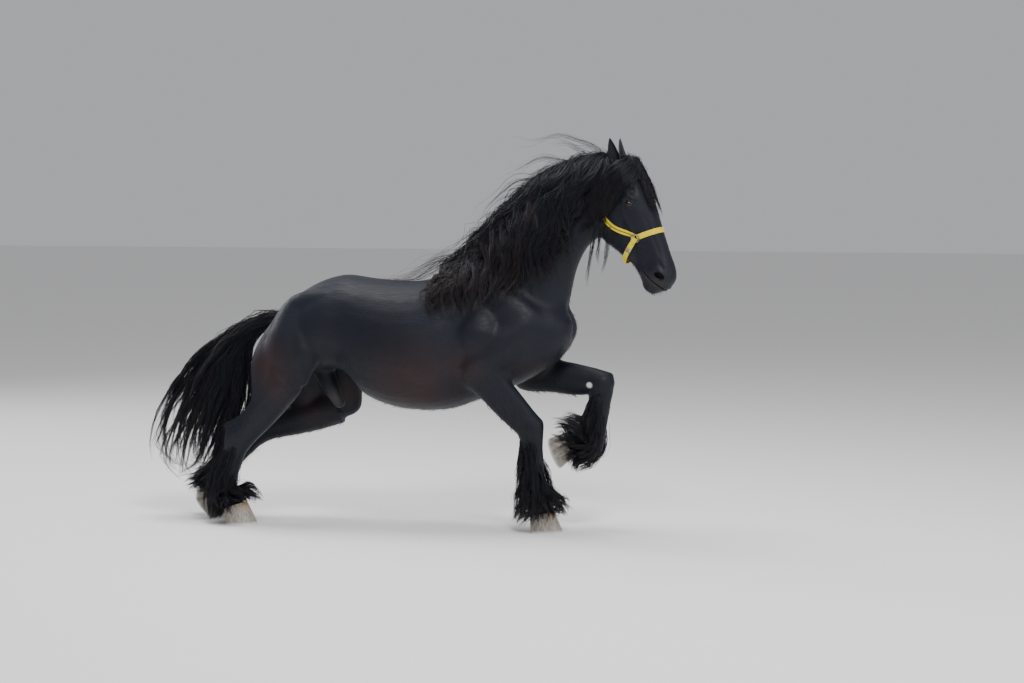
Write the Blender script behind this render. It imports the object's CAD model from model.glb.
import math

import bmesh
import bpy
import numpy as np
from mathutils import Matrix, Vector
from mathutils.bvhtree import BVHTree


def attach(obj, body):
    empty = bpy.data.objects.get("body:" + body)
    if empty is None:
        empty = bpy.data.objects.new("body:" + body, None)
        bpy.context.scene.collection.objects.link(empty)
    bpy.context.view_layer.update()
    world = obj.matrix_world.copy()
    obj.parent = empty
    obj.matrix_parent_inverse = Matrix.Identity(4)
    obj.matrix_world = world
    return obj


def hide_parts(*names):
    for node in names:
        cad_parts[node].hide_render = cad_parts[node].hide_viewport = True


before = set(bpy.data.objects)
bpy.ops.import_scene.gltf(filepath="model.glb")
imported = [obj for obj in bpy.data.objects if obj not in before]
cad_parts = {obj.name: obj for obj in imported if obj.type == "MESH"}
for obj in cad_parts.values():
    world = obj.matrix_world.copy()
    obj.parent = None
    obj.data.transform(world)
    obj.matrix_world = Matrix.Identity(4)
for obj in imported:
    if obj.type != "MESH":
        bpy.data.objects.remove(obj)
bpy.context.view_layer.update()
print("frame loaded")

fullTurn = 2 * math.pi
left = Vector((0, 1, 0))
up = Vector((0, 0, 1))
sides = ((1, "left"), (-1, "right"))


# small helpers

def squared(vector, *axes):  # the part of a vector that stands square to these axes
    for axis in axes:
        vector = vector - axis * vector.dot(axis)
    return vector.normalized()


def evenShares(count):
    return [step / (count - 1) for step in range(count)]


def arc(count, degrees):  # even angles to both sides of the middle
    return [math.radians(degrees * (2 * share - 1)) for share in evenShares(count)]


def swell(distance, width):
    return np.exp(-((distance / width) ** 2))


def addObject(name, mesh, material=None, smooth=True):
    thing = bpy.data.objects.new(name, mesh)
    bpy.context.scene.collection.objects.link(thing)
    if material:
        mesh.materials.append(material)
    if smooth:
        mesh.shade_smooth()
    return thing


def fromBmesh(name, form, material=None, smooth=True):
    bmesh.ops.recalc_face_normals(form, faces=form.faces)
    if form.calc_volume(signed=True) < 0:
        bmesh.ops.reverse_faces(form, faces=form.faces)
    mesh = bpy.data.meshes.new(name)
    form.to_mesh(mesh)
    form.free()
    return addObject(name, mesh, material, smooth)


def applyModifiers(thing):
    graph = bpy.context.evaluated_depsgraph_get()
    mesh = bpy.data.meshes.new_from_object(thing.evaluated_get(graph))
    thing.modifiers.clear()
    thing.data = mesh


def coordinates(mesh):
    points = np.empty(len(mesh.vertices) * 3)
    mesh.vertices.foreach_get("co", points)
    return points.reshape(-1, 3)


def normalsOf(mesh):
    normals = np.empty(len(mesh.vertices) * 3)
    mesh.vertex_normals.foreach_get("vector", normals)
    return normals.reshape(-1, 3)


def putCoordinates(mesh, points):
    mesh.vertices.foreach_set("co", points.astype(np.float32).ravel())
    mesh.update()


def smoothRows(rows, steps):  # rows read from a smooth curve through the given rows
    first = [2 * a - b for a, b in zip(rows[0], rows[1])]
    last = [2 * a - b for a, b in zip(rows[-1], rows[-2])]
    ends = [first, *rows, last]
    made = []
    for p, q, r, s in zip(ends, ends[1:], ends[2:], ends[3:]):
        for step in range(steps):
            t = step / steps
            made.append([
                0.5 * (2 * b + (c - a) * t + (2 * a - 5 * b + 4 * c - d) * t**2
                       + (3 * b - a - 3 * c + d) * t**3)
                for a, b, c, d in zip(p, q, r, s)
            ])
    made.append(list(rows[-1]))
    return made


def rowAt(rows, share):
    place = max(0.0, min(share, 1.0)) * (len(rows) - 1)
    low = min(int(place), len(rows) - 2)
    return [a + (b - a) * (place - low) for a, b in zip(rows[low], rows[low + 1])]


def addRing(form, centre, side, tall, halfWidth, reachUp, reachDown, segments, roundness=2.0):
    # a circle of the form, pressed into a rounded box of these sizes
    made = bmesh.ops.create_circle(form, cap_ends=False, radius=1, segments=segments)["verts"]
    for vert in made:
        flat, high = vert.co.x, vert.co.y
        flat = math.copysign(abs(flat) ** (2 / roundness), flat)
        high = math.copysign(abs(high) ** (2 / roundness), high)
        vert.co = centre + side * flat * halfWidth + tall * high * (reachUp if high > 0 else reachDown)
    return list({edge for vert in made for edge in vert.link_edges})


def bridgeRings(form, rings):
    for near, far in zip(rings, rings[1:]):
        bmesh.ops.bridge_loops(form, edges=near + far)
    for ring in (rings[0], rings[-1]):
        bmesh.ops.holes_fill(form, edges=ring, sides=0)


def polyDistance(points, path):
    # distance from many points to a path, and how far along it the nearest place is
    best = np.full(len(points), 1e9)
    share = np.zeros(len(points))
    path = np.array([tuple(p) for p in path], dtype=float)
    lengths = np.linalg.norm(np.diff(path, axis=0), axis=1)
    total = lengths.sum()
    gone = 0.0
    for a, b, length in zip(path, path[1:], lengths):
        way = b - a
        t = np.clip(((points - a) @ way) / max(length**2, 1e-12), 0, 1)
        distance = np.linalg.norm(points - (a + t[:, None] * way), axis=1)
        closer = distance < best
        best[closer] = distance[closer]
        share[closer] = (gone + t[closer] * length) / total
        gone += length
    return best, share


def softStep(values, low, high):
    t = np.clip((values - low) / (high - low), 0, 1)
    return t * t * (3 - 2 * t)


# the body's own masses, as in the solids

trunk = {
    "stations": (  # x, top, bottom, half width
        (-0.690, 0.960, 0.820, 0.060), (-0.665, 1.010, 0.760, 0.120), (-0.610, 1.080, 0.715, 0.180),
        (-0.500, 1.158, 0.745, 0.225), (-0.400, 1.210, 0.768, 0.245), (-0.300, 1.236, 0.765, 0.255),
        (-0.230, 1.232, 0.712, 0.266), (-0.160, 1.222, 0.636, 0.280), (-0.020, 1.210, 0.588, 0.310),
        (0.120, 1.215, 0.575, 0.318), (0.250, 1.258, 0.585, 0.296), (0.370, 1.310, 0.625, 0.250),
        (0.480, 1.300, 0.670, 0.222), (0.600, 1.240, 0.715, 0.205), (0.700, 1.180, 0.770, 0.188),
        (0.785, 1.130, 0.830, 0.160), (0.845, 1.070, 0.910, 0.110), (0.868, 1.020, 0.960, 0.060),
    ),
    "widest": 0.46,
    "roundness": 2.2,
    "sheath": ((-0.425, 0, 0.780), (-0.380, 0, 0.680), (-0.330, 0, 0.595)),
    "sheathSizes": (0.058, 0.047, 0.032),
}

neck = {
    "stations": (  # crest x, z, underline x, z, sideways place, half width
        (0.300, 1.250, 0.770, 0.950, 0.000, 0.150), (0.385, 1.360, 0.835, 1.080, -0.002, 0.145),
        (0.480, 1.475, 0.862, 1.190, -0.008, 0.128), (0.590, 1.590, 0.885, 1.275, -0.018, 0.110),
        (0.710, 1.685, 0.918, 1.345, -0.028, 0.096), (0.840, 1.752, 0.960, 1.395, -0.040, 0.088),
        (0.970, 1.785, 1.030, 1.450, -0.052, 0.084), (1.070, 1.790, 1.085, 1.540, -0.058, 0.070),
    ),
    "middle": 0.42,
}

head = {
    "origin": Vector((1.200, -0.072, 1.805)),
    "yaw": math.radians(-12),
    "lean": math.radians(20),
    "stations": (  # along the face, face, jaw, half width
        (-0.025, -0.085, -0.160, 0.045), (-0.005, -0.060, -0.205, 0.070), (0.045, -0.030, -0.242, 0.086),
        (0.110, -0.014, -0.280, 0.095), (0.180, -0.006, -0.312, 0.100), (0.245, -0.004, -0.320, 0.095),
        (0.310, -0.004, -0.305, 0.083), (0.370, -0.004, -0.264, 0.069), (0.430, -0.004, -0.222, 0.060),
        (0.490, -0.004, -0.194, 0.055), (0.545, -0.003, -0.184, 0.058), (0.590, -0.012, -0.182, 0.053),
        (0.618, -0.034, -0.172, 0.043), (0.636, -0.064, -0.152, 0.028),
    ),
    "widest": 0.62,
    "roundness": 2.5,
}

limbs = {
    "right_fore": {
        "withers": (0.330, -0.080, 1.220), "shoulder": (0.665, -0.160, 1.010),
        "elbow": (0.410, -0.185, 0.800), "knee": (0.672, -0.080, 0.505), "fetlock": (0.690, -0.040, 0.215),
        "coronet": (0.708, -0.025, 0.095), "ground": (0.722, -0.020, 0.000),
    },
    "left_fore": {
        "withers": (0.350, 0.080, 1.210), "shoulder": (0.720, 0.155, 0.985), "elbow": (0.560, 0.175, 0.748),
        "knee": (0.975, 0.140, 0.714), "fetlock": (0.938, 0.120, 0.408), "coronet": (0.812, 0.115, 0.420),
        "ground": (0.735, 0.112, 0.380),
    },
    "right_hind": {
        "hip": (-0.490, -0.130, 1.000), "stifle": (-0.515, -0.205, 0.735), "hock": (-0.812, -0.150, 0.432),
        "fetlock": (-0.893, -0.140, 0.152), "coronet": (-0.835, -0.140, 0.094),
        "ground": (-0.808, -0.140, 0.000),
    },
    "left_hind": {
        "hip": (-0.460, 0.130, 0.960), "stifle": (-0.385, 0.190, 0.572), "hock": (-0.788, 0.128, 0.465),
        "fetlock": (-1.032, 0.120, 0.203), "coronet": (-1.056, 0.120, 0.122),
        "ground": (-1.100, 0.120, 0.050),
    },
}

limbSections = {
    "fore": (  # bone, share down it, half width, reach in front and behind
        ("elbow", "knee", -0.04, 0.072, 0.090, 0.080), ("elbow", "knee", 0.12, 0.076, 0.102, 0.086),
        ("elbow", "knee", 0.35, 0.066, 0.096, 0.076), ("elbow", "knee", 0.62, 0.058, 0.086, 0.078),
        ("elbow", "knee", 0.84, 0.056, 0.076, 0.074), ("elbow", "knee", 0.98, 0.060, 0.076, 0.072),
        ("knee", "fetlock", 0.08, 0.058, 0.068, 0.068), ("knee", "fetlock", 0.20, 0.048, 0.056, 0.062),
        ("knee", "fetlock", 0.35, 0.043, 0.050, 0.058), ("knee", "fetlock", 0.60, 0.041, 0.048, 0.056),
        ("knee", "fetlock", 0.82, 0.043, 0.048, 0.058), ("knee", "fetlock", 0.98, 0.047, 0.052, 0.062),
        ("fetlock", "coronet", 0.40, 0.045, 0.048, 0.052), ("fetlock", "coronet", 0.80, 0.049, 0.050, 0.050),
        ("fetlock", "coronet", 1.00, 0.056, 0.058, 0.054),
    ),
    "hind": (
        ("stifle", "hock", 0.02, 0.088, 0.092, 0.140), ("stifle", "hock", 0.16, 0.084, 0.094, 0.116),
        ("stifle", "hock", 0.32, 0.078, 0.096, 0.088), ("stifle", "hock", 0.55, 0.066, 0.094, 0.070),
        ("stifle", "hock", 0.78, 0.057, 0.088, 0.066), ("stifle", "hock", 0.96, 0.058, 0.086, 0.080),
        ("hock", "fetlock", 0.10, 0.056, 0.076, 0.070), ("hock", "fetlock", 0.24, 0.049, 0.062, 0.060),
        ("hock", "fetlock", 0.50, 0.043, 0.054, 0.056), ("hock", "fetlock", 0.80, 0.043, 0.052, 0.056),
        ("hock", "fetlock", 0.98, 0.047, 0.054, 0.060), ("fetlock", "coronet", 0.50, 0.045, 0.048, 0.050),
        ("fetlock", "coronet", 1.00, 0.056, 0.058, 0.054),
    ),
}

skin = {
    "voxel": 0.0101,
    "smoothing": 13,
    "legSmoothing": 0.40,
    "headSmoothing": 0.42,
    "headRounds": 6,
    "joinRounds": 55,
    "inset": 0.0022,  # the coat's depth under the solids
    "finerHead": (0.985, 1.140),  # the head starts beyond this x and above this z
    "relaxedHead": (0.98, 1.13),
    "shapedHead": (1.0, 1.12),
    "smoothHead": (1.0, 1.1),
    "legTop": 0.56,
    "raisedLeg": (0.80, 0.82),  # beyond this x and under this z
    "bend": 0.30,  # how much of each bone turns with the joint
}


def beyond(points, corner):
    return (points[:, 0] > corner[0]) & (points[:, 2] > corner[1])


def headAxes():
    heading = Vector((math.cos(head["yaw"]), math.sin(head["yaw"]), 0))
    along = heading * math.sin(head["lean"]) - up * math.cos(head["lean"])
    out = heading * math.cos(head["lean"]) + up * math.sin(head["lean"])
    return along, out, out.cross(along)


def headPoint(alongFace, outOfFace, sideways=0.0):
    along, out, side = headAxes()
    return head["origin"] + along * alongFace + out * outOfFace + side * sideways


def facePoint(place, side):  # the same place on the left, side 1, and on the right, side -1
    return headPoint(place[0], place[1], place[2] * side)


def addMuscle(form, points, sizes, flatness):
    rows = smoothRows([(*point, size) for point, size in zip(points, sizes)], 3)
    places = [Vector(row[:3]) for row in rows]
    rings = []
    last = len(places) - 1
    for index, place in enumerate(places):
        along = (places[min(index + 1, last)] - places[max(index - 1, 0)]).normalized()
        flat = squared(left, along)
        tall = along.cross(flat)
        size = rows[index][3]
        angles = [math.radians(a) for a in (0, 30, 55, 75)] if index in (0, last) else [0]
        away = -along if index == 0 else along
        rounds = []
        for angle in angles:
            small = size * math.cos(angle)
            middle = place + away * size * flatness * math.sin(angle)
            rounds.append((middle, flat, tall, small * flatness, small, small, 20))
        rings += reversed(rounds) if index == 0 else rounds
    bridgeRings(form, [addRing(form, *ring) for ring in rings])


def addTrunk(form):
    rings = []
    for x, top, bottom, halfWidth in smoothRows(trunk["stations"], 3):
        level = bottom + (top - bottom) * trunk["widest"]
        sizes = (halfWidth, top - level, level - bottom, 32, trunk["roundness"])
        rings.append(addRing(form, Vector((x, 0, level)), left, up, *sizes))
    bridgeRings(form, rings)


def addNeck(form):
    rings = []
    for crestX, crestZ, underX, underZ, y, halfWidth in smoothRows(neck["stations"], 3):
        crest, under = Vector((crestX, y, crestZ)), Vector((underX, y, underZ))
        tall = (crest - under).normalized()
        middle = under.lerp(crest, neck["middle"])
        reachUp, reachDown = (crest - middle).length, (middle - under).length
        rings.append(addRing(form, middle, left, tall, halfWidth, reachUp, reachDown, 28))
    bridgeRings(form, rings)


def addHead(form):
    _, out, side = headAxes()
    rings = []
    for place, top, bottom, halfWidth in smoothRows(head["stations"], 3):
        level = bottom + (top - bottom) * head["widest"]
        sizes = (halfWidth, top - level, level - bottom, 28, head["roundness"])
        rings.append(addRing(form, headPoint(place, level), side, out, *sizes))
    bridgeRings(form, rings)


def addBones(form, joints, first, sections):
    rings = []
    names = list(joints)[list(joints).index(first):]
    for start, end, share, halfWidth, front, back in sections:
        upper, lower = Vector(joints[start]), Vector(joints[end])
        along = (lower - upper).normalized()
        bend = skin["bend"]
        before, after = names.index(start) - 1, names.index(end) + 1
        if share < bend and before >= 0:
            earlier = (upper - Vector(joints[names[before]])).normalized()
            along = along.lerp(earlier, 0.5 * (1 - max(share, 0) / bend)).normalized()
        elif share > 1 - bend and after < len(names):
            later = (Vector(joints[names[after]]) - lower).normalized()
            along = along.lerp(later, 0.5 * (1 - (1 - share) / bend)).normalized()
        flat = squared(left, along)
        sizes = (halfWidth, front, back, 20)
        rings.append(addRing(form, upper.lerp(lower, share), flat, along.cross(flat), *sizes))
    bridgeRings(form, rings)


def addForeleg(form, joints, side):
    withers, shoulder, elbow = (Vector(joints[name]) for name in ("withers", "shoulder", "elbow"))
    out = left * side
    blade = withers.lerp(shoulder, 0.5) + out * 0.030
    back = Vector((-1, 0, 0))
    low = shoulder + Vector((-0.010, 0, -0.060))
    addMuscle(form, [withers, blade, shoulder, low], [0.050, 0.105, 0.100, 0.060], 0.55)
    triceps = [
        blade + back * 0.070,
        blade.lerp(elbow, 0.45) + out * 0.035 + back * 0.020,
        elbow + back * 0.010 + Vector((0, 0, 0.070)),
        elbow + back * 0.005,
    ]
    addMuscle(form, triceps, [0.070, 0.120, 0.095, 0.060], 0.60)
    addMuscle(form, [shoulder, shoulder.lerp(elbow, 0.55), elbow], [0.085, 0.105, 0.085], 0.80)
    breast = Vector((0.775, 0.068 * side, 1.010))
    addMuscle(form, [breast, breast.lerp(elbow, 0.35), breast.lerp(elbow, 0.70)], [0.090, 0.095, 0.060], 0.85)
    addBones(form, joints, "elbow", limbSections["fore"])


def addHindLeg(form, joints, side):
    hip, stifle, hock = (Vector(joints[name]) for name in ("hip", "stifle", "hock"))
    out = left * side
    gaskin = stifle.lerp(hock, 0.40)
    hipPoint = Vector((-0.330, 0.175 * side, 1.120))
    seat = Vector((-0.590, 0.100 * side, 0.930))
    addMuscle(form, [hipPoint, hip + Vector((0.02, 0, 0.05)), seat], [0.050, 0.105, 0.090], 0.75)
    midThigh = hip.lerp(stifle, 0.55) + out * 0.010
    thigh = [hip + Vector((0.03, 0, 0.04)), midThigh, stifle + Vector((0.015, 0, 0))]
    addMuscle(form, thigh, [0.130, 0.150, 0.095], 0.66)
    midHam = seat.lerp(gaskin, 0.45) + Vector((-0.010, 0.012 * side, 0))
    addMuscle(form, [seat, midHam, gaskin + Vector((-0.02, 0, 0.02))], [0.100, 0.125, 0.078], 0.70)
    tendon = [
        hock + Vector((-0.050, 0, 0.050)),
        stifle.lerp(hock, 0.62) + Vector((-0.045, 0, 0.0)),
        stifle.lerp(hock, 0.30) + Vector((-0.070, 0, -0.01)),
    ]
    addMuscle(form, tendon, [0.022, 0.030, 0.050], 0.80)
    addBones(form, joints, "stifle", limbSections["hind"])


def makeSkin():
    form = bmesh.new()
    addTrunk(form)
    addNeck(form)
    addHead(form)
    addMuscle(form, trunk["sheath"], trunk["sheathSizes"], 0.85)
    for name, joints in limbs.items():
        side = 1 if name.startswith("left") else -1
        (addForeleg if name.endswith("fore") else addHindLeg)(form, joints, side)
    body = fromBmesh("coat_skin", form)
    remesh = body.modifiers.new("oneSkin", "REMESH")
    remesh.mode = "VOXEL"
    remesh.voxel_size = skin["voxel"]
    applyModifiers(body)
    points = coordinates(body.data)
    onHead = beyond(points, skin["smoothHead"])
    raisedX, raisedZ = skin["raisedLeg"]
    onLeg = (points[:, 2] < skin["legTop"]) | ((points[:, 0] > raisedX) & (points[:, 2] < raisedZ))
    soft = np.where(onHead, skin["headSmoothing"], np.where(onLeg, skin["legSmoothing"], 1.0))
    group = body.vertex_groups.new(name="softness")
    for value in np.unique(soft):
        group.add([int(i) for i in np.nonzero(soft == value)[0]], float(value), "REPLACE")
    smooth = body.modifiers.new("softJoins", "SMOOTH")
    smooth.factor = 0.5
    smooth.iterations = skin["smoothing"]
    smooth.vertex_group = "softness"
    applyModifiers(body)
    body.vertex_groups.clear()
    return body


# skin detail: grooves, swellings and veins moved into it along paths

details = {
    # places where the parts run into one another softly: x, y, z, reach
    "soft": (
        (0.880, 0.10, 1.150, 0.20), (0.760, 0.15, 1.170, 0.20), (0.680, 0.20, 1.080, 0.18),
        (-0.660, 0.20, 0.740, 0.20), (-0.560, 0.24, 0.800, 0.18), (0.520, 0.20, 0.800, 0.13),
        (0.640, 0.17, 0.820, 0.12),
    ),
    # side 0 is both sides with y mirrored, otherwise only that side: path, width, height
    "body": (
        (0, ((0.440, 0.10, 1.300), (0.560, 0.15, 1.200), (0.700, 0.17, 1.060)), 0.045, -0.0020),
        (0, ((0.330, 0.27, 1.070), (0.335, 0.28, 0.950), (0.370, 0.25, 0.790)), 0.022, -0.0080),
        (0, ((0.400, 0.25, 1.110), (0.450, 0.24, 1.010), (0.480, 0.22, 0.900)), 0.070, 0.0035),
        (0, ((-0.250, 0.24, 1.120), (-0.235, 0.27, 0.960), (-0.270, 0.26, 0.800)), 0.034, -0.0090),
        (0, ((-0.330, 0.20, 1.150), (-0.380, 0.24, 1.040), (-0.400, 0.27, 0.900)), 0.030, 0.0050),
        (0, ((-0.500, 0.22, 0.980), (-0.470, 0.25, 0.860), (-0.430, 0.26, 0.740)), 0.014, -0.0035),
        (0, ((0.860, 0.00, 1.120), (0.872, 0.00, 1.020), (0.840, 0.00, 0.930)), 0.014, -0.0080),
        (0, ((0.560, 0.30, 0.880), (0.350, 0.32, 0.790), (0.150, 0.30, 0.700), (0.000, 0.27, 0.660)),
         0.006, 0.0022),
        (0, ((0.650, 0.21, 0.980), (0.600, 0.23, 0.900), (0.530, 0.23, 0.820)), 0.006, 0.0020),
        (-1, ((0.480, -0.27, 0.800), (0.560, -0.18, 0.680), (0.630, -0.12, 0.580)), 0.010, -0.0040),
        (-1, ((0.505, -0.20, 0.830), (0.590, -0.16, 0.700), (0.655, -0.13, 0.590)), 0.005, 0.0018),
        (1, ((0.640, 0.24, 0.760), (0.780, 0.20, 0.745), (0.900, 0.17, 0.740)), 0.010, -0.0040),
        (-1, ((-0.470, -0.29, 0.700), (-0.600, -0.24, 0.600), (-0.740, -0.19, 0.500)), 0.012, -0.0045),
        (1, ((-0.440, 0.27, 0.560), (-0.580, 0.20, 0.520), (-0.720, 0.17, 0.470)), 0.012, -0.0045),
        (-1, ((-0.560, -0.26, 0.640), (-0.660, -0.22, 0.560), (-0.780, -0.19, 0.460)), 0.005, 0.0020),
    ),
    # along and out of the face, both sides: path, width, height
    "head": (
        (((0.225, -0.135), (0.290, -0.122), (0.365, -0.112)), 0.010, 0.0050),
        (((0.260, -0.165), (0.330, -0.150), (0.420, -0.135)), 0.016, -0.0050),
        (((0.270, -0.040), (0.370, -0.036), (0.480, -0.036)), 0.009, -0.0035),
        (((0.075, -0.215), (0.150, -0.285), (0.240, -0.290), (0.300, -0.245)), 0.013, 0.0040),
        (((0.315, -0.215), (0.345, -0.165), (0.395, -0.125), (0.460, -0.095)), 0.0040, 0.0024),
        (((0.385, -0.132), (0.405, -0.092), (0.445, -0.060)), 0.0034, 0.0018),
        (((0.395, -0.125), (0.440, -0.128), (0.490, -0.115)), 0.0034, 0.0016),
        (((0.240, -0.150), (0.300, -0.175), (0.330, -0.205)), 0.0034, 0.0016),
        (((0.115, -0.060), (0.145, -0.050), (0.170, -0.055)), 0.016, -0.0030),
        (((0.150, -0.085), (0.172, -0.066), (0.205, -0.058)), 0.013, 0.0030),
        (((0.500, -0.050), (0.540, -0.045), (0.575, -0.040)), 0.010, -0.0030),
    ),
}

eye = {
    "place": (0.200, -0.088, 0.085),
    "radius": 0.021,
    "ballGap": 0.0004,
    "opening": (0.0195, 0.0130),
    "lid": 0.0034,
    "depth": 0.006,
    "spread": 2.6,
    "lowest": 0.45,  # the ball's outermost height under the lids, as a share of its radius
    "folds": (  # brow, hollow above it and fold below: place, width and height of each swelling
        (0.000, 0.034, 0.030, 0.013, 0.0050), (-0.012, 0.064, 0.020, 0.015, -0.0050),
        (0.000, -0.031, 0.026, 0.008, -0.0035),
    ),
    "creases": (  # above or below, distance and width as shares of the opening, where it starts, depth
        (1, 1.62, 0.13, 0.000, 0.012, 0.0026), (-1, 1.75, 0.12, 0.004, 0.014, 0.0014),
    ),
}

nostril = {
    "place": (0.566, -0.072, 0.051),
    "opening": (0.0280, 0.0195),
    "depth": 0.028,
    "rim": 0.0060,
    "spread": 2.5,
}

mouth = {
    "corner": (0.508, -0.154),
    "front": (0.628, -0.080),
    "depth": 0.0080,
    "width": 0.0026,
    "curve": 0.004,
    "lip": 0.0034,
    "lipPlace": 0.011,
    "lipWidth": 0.007,
    "cornerDepth": 0.003,
    "chin": (0.585, -0.180, 0.022, 0.005),  # place, width, height
    "wrinkles": (0.480, -0.145, 0.0012),  # place, height
}


def eyeAxes(side):  # outward, along the slit, and up across it
    along, out, sideways = headAxes()
    outward = (sideways * side + out * 0.32 + along * 0.05).normalized()
    slit = squared(along * 0.62 + out * 0.78, outward)
    across = squared(out * 0.62 - along * 0.78, outward, slit)
    return outward, slit, across


def finerFaces(form, chosen):
    edges = {edge for face in form.faces if chosen(face.calc_center_median()) for edge in face.edges}
    bmesh.ops.subdivide_edges(form, edges=list(edges), cuts=1, use_grid_fill=True)


def nearDetail(point):
    places = [facePoint(part["place"], side) for part in (eye, nostril) for side in (1, -1)]
    if min((point - place).length for place in places) < 0.045:
        return True
    along, out, _ = headAxes()
    a, o = (point - head["origin"]).dot(along), (point - head["origin"]).dot(out)
    return a > 0.49 and abs((a - 0.508) * -0.529 + (o + 0.154) * 0.848) < 0.018


def inAxes(points, origin, *axes):  # how far the points are from the origin along each axis
    offset = points - np.array(origin)
    return [offset @ np.array(axis) for axis in axes]


def ovalReach(x, y, opening):  # 1 on the edge of an oval opening
    return np.sqrt((x / opening[0]) ** 2 + (y / opening[1]) ** 2)


def pressIn(points, place, wide, tall, outward, opening, rimHeight, depth, spread, ballHeight=None):
    # a rim round an oval opening, with the skin inside it pressed in, round a ball where there is one
    x, y, z = inAxes(points, place, wide, tall, outward)
    q = ovalReach(x, y, opening)
    near = (q < spread) & (np.abs(z) < 0.06) & (z > -0.035)
    snap = near & (q > 0.80) & (q < 1.0)
    pull = np.where(snap, 1 / np.maximum(q, 1e-6), 1.0)
    x, y = x * pull, y * pull
    top = ballHeight(x, y) if ballHeight else z
    weight = 1 - softStep(q, 1.25, spread)
    raised = np.maximum(z, z + (top + rimHeight - z) * weight)
    sunk = top - depth * softStep(1 - q, 0.12, 0.45) - 0.002
    newZ = np.where(q <= 0.80, sunk, raised)
    moved = np.array(place) + np.outer(x, wide) + np.outer(y, tall) + np.outer(newZ, outward)
    return np.where(near[:, None], moved, points)


def overEye(x, y):  # height of the eyeball's surface
    radius = eye["radius"]
    return np.sqrt(np.maximum(radius**2 - x**2 - y**2, (eye["lowest"] * radius) ** 2))


def shapeFace(points, normals):
    # strokes on the cheeks, the line of the mouth with its lips, the chin and wrinkles
    a, o = inAxes(points, head["origin"], *headAxes()[:2])
    flatness = softStep(np.abs(normals @ np.array(headAxes()[2])), 0.25, 0.65)
    move = np.zeros(len(points))
    plane = np.stack([a, o, np.zeros_like(a)], axis=1)
    for path, width, height in details["head"]:
        distance, share = polyDistance(plane, [(p, q, 0) for p, q in path])
        ends = softStep(share, -0.01, 0.15) * (1 - softStep(share, 0.85, 1.01))
        move += height * swell(distance, width) * (0.35 + 0.65 * ends) * flatness
    (ca, co), (fa, fo) = mouth["corner"], mouth["front"]
    length = math.hypot(fa - ca, fo - co)
    da, do = (fa - ca) / length, (fo - co) / length
    t = (a - ca) * da + (o - co) * do
    h = (a - ca) * -do + (o - co) * da + mouth["curve"] * np.sin(np.clip(t / length, 0, 1) * math.pi)
    inMouth = softStep(t, -0.004, 0.016)
    move -= mouth["depth"] * swell(h, mouth["width"]) * inMouth
    move += mouth["lip"] * swell(np.abs(h) - mouth["lipPlace"], mouth["lipWidth"]) * inMouth
    move -= mouth["cornerDepth"] * swell(t + 0.004, 0.010) * swell(h, 0.012) * flatness
    chinA, chinO, chinWidth, chinHeight = mouth["chin"]
    move += chinHeight * swell(a - chinA, chinWidth) * swell(o - chinO, chinWidth)
    wrinkleA, wrinkleO, wrinkleHeight = mouth["wrinkles"]
    waves = np.sin((a - 0.44) * 520 + o * 260)
    move += wrinkleHeight * waves * swell(a - wrinkleA, 0.022) * swell(o - wrinkleO, 0.018) * flatness
    onHead = beyond(points, skin["shapedHead"]) & (a > -0.05)
    return points + normals * (move * onHead)[:, None]


def shapeEye(points, side):
    centre = facePoint(eye["place"], side)
    outward, slit, across = eyeAxes(side)
    x, y, z = inAxes(points, centre, slit, across, outward)
    close = (z > -0.03) & (np.hypot(x, y) < 0.10)
    folds = sum(height * swell(x - foldX, width) * swell(y - foldY, tall)
                for foldX, foldY, width, tall, height in eye["folds"])
    points = points + np.outer(folds * close, outward)
    points = pressIn(points, centre, slit, across, outward, eye["opening"], eye["lid"], eye["depth"],
                     eye["spread"], overEye)
    x, y, z = inAxes(points, centre, slit, across, outward)
    q = ovalReach(x, y, eye["opening"])
    creases = sum(depth * swell(q - distance, width) * softStep(y * way, start, end) * (z > -0.02)
                  for way, distance, width, start, end, depth in eye["creases"])
    return points - np.outer(creases, outward)


def shapeNostril(points, side):
    along, out, sideways = headAxes()
    outward = (sideways * side + out * 0.30 + along * 0.25).normalized()
    tall = squared(along * 0.72 + out * 0.69, outward)
    wide = squared(along * -0.69 + out * 0.72, outward, tall)
    return pressIn(points, facePoint(nostril["place"], side), tall, wide, outward, nostril["opening"],
                   nostril["rim"], nostril["depth"], nostril["spread"])


def shapeHead(points, normals):
    points = shapeFace(points, normals)
    for side in (1, -1):
        points = shapeNostril(shapeEye(points, side), side)
    return points


def shapeBody(points, normals):
    # strokes on the sides are measured in side view, the one down the chest from the front
    move = np.zeros(len(points))
    seen = points.copy()
    seen[:, 1] = 0
    ahead = points.copy()
    ahead[:, 0] = 0
    for side, path, width, height in details["body"]:
        onFront = all(y == 0 for _, y, _ in path)
        line = [(0, 0, z) if onFront else (x, 0, z) for x, _, z in path]
        distance, share = polyDistance(ahead if onFront else seen, line)
        ends = softStep(share, -0.02, 0.2) * (1 - softStep(share, 0.8, 1.02))
        stroke = height * swell(distance, width * 2.0) * (0.15 + 0.85 * ends)
        if onFront:
            move += stroke * softStep(normals[:, 0], 0.3, 0.7) * (points[:, 0] > 0.7)
            continue
        for turn in ((1, -1) if side == 0 else (side,)):
            towards = softStep(normals[:, 1] * turn, 0.10, 0.55)
            move += stroke * towards * (points[:, 1] * turn > 0.03)
    return points + normals * move[:, None]


legDetail = {
    # a groove on both sides of the cannon bone: distance apart, behind the bone, width, depth
    "groove": (0.040, 0.012, 0.013, 0.0055),
    "grooveShares": (0.12, 0.5, 0.95),
    # swellings at the joints: ahead, down, reach, height
    "knee": ((0.05, 0.012, 0.018, -0.0030),),
    "hock": ((0.05, 0.012, 0.018, -0.0030), (-0.075, -0.035, 0.028, 0.0080)),
}


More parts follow.
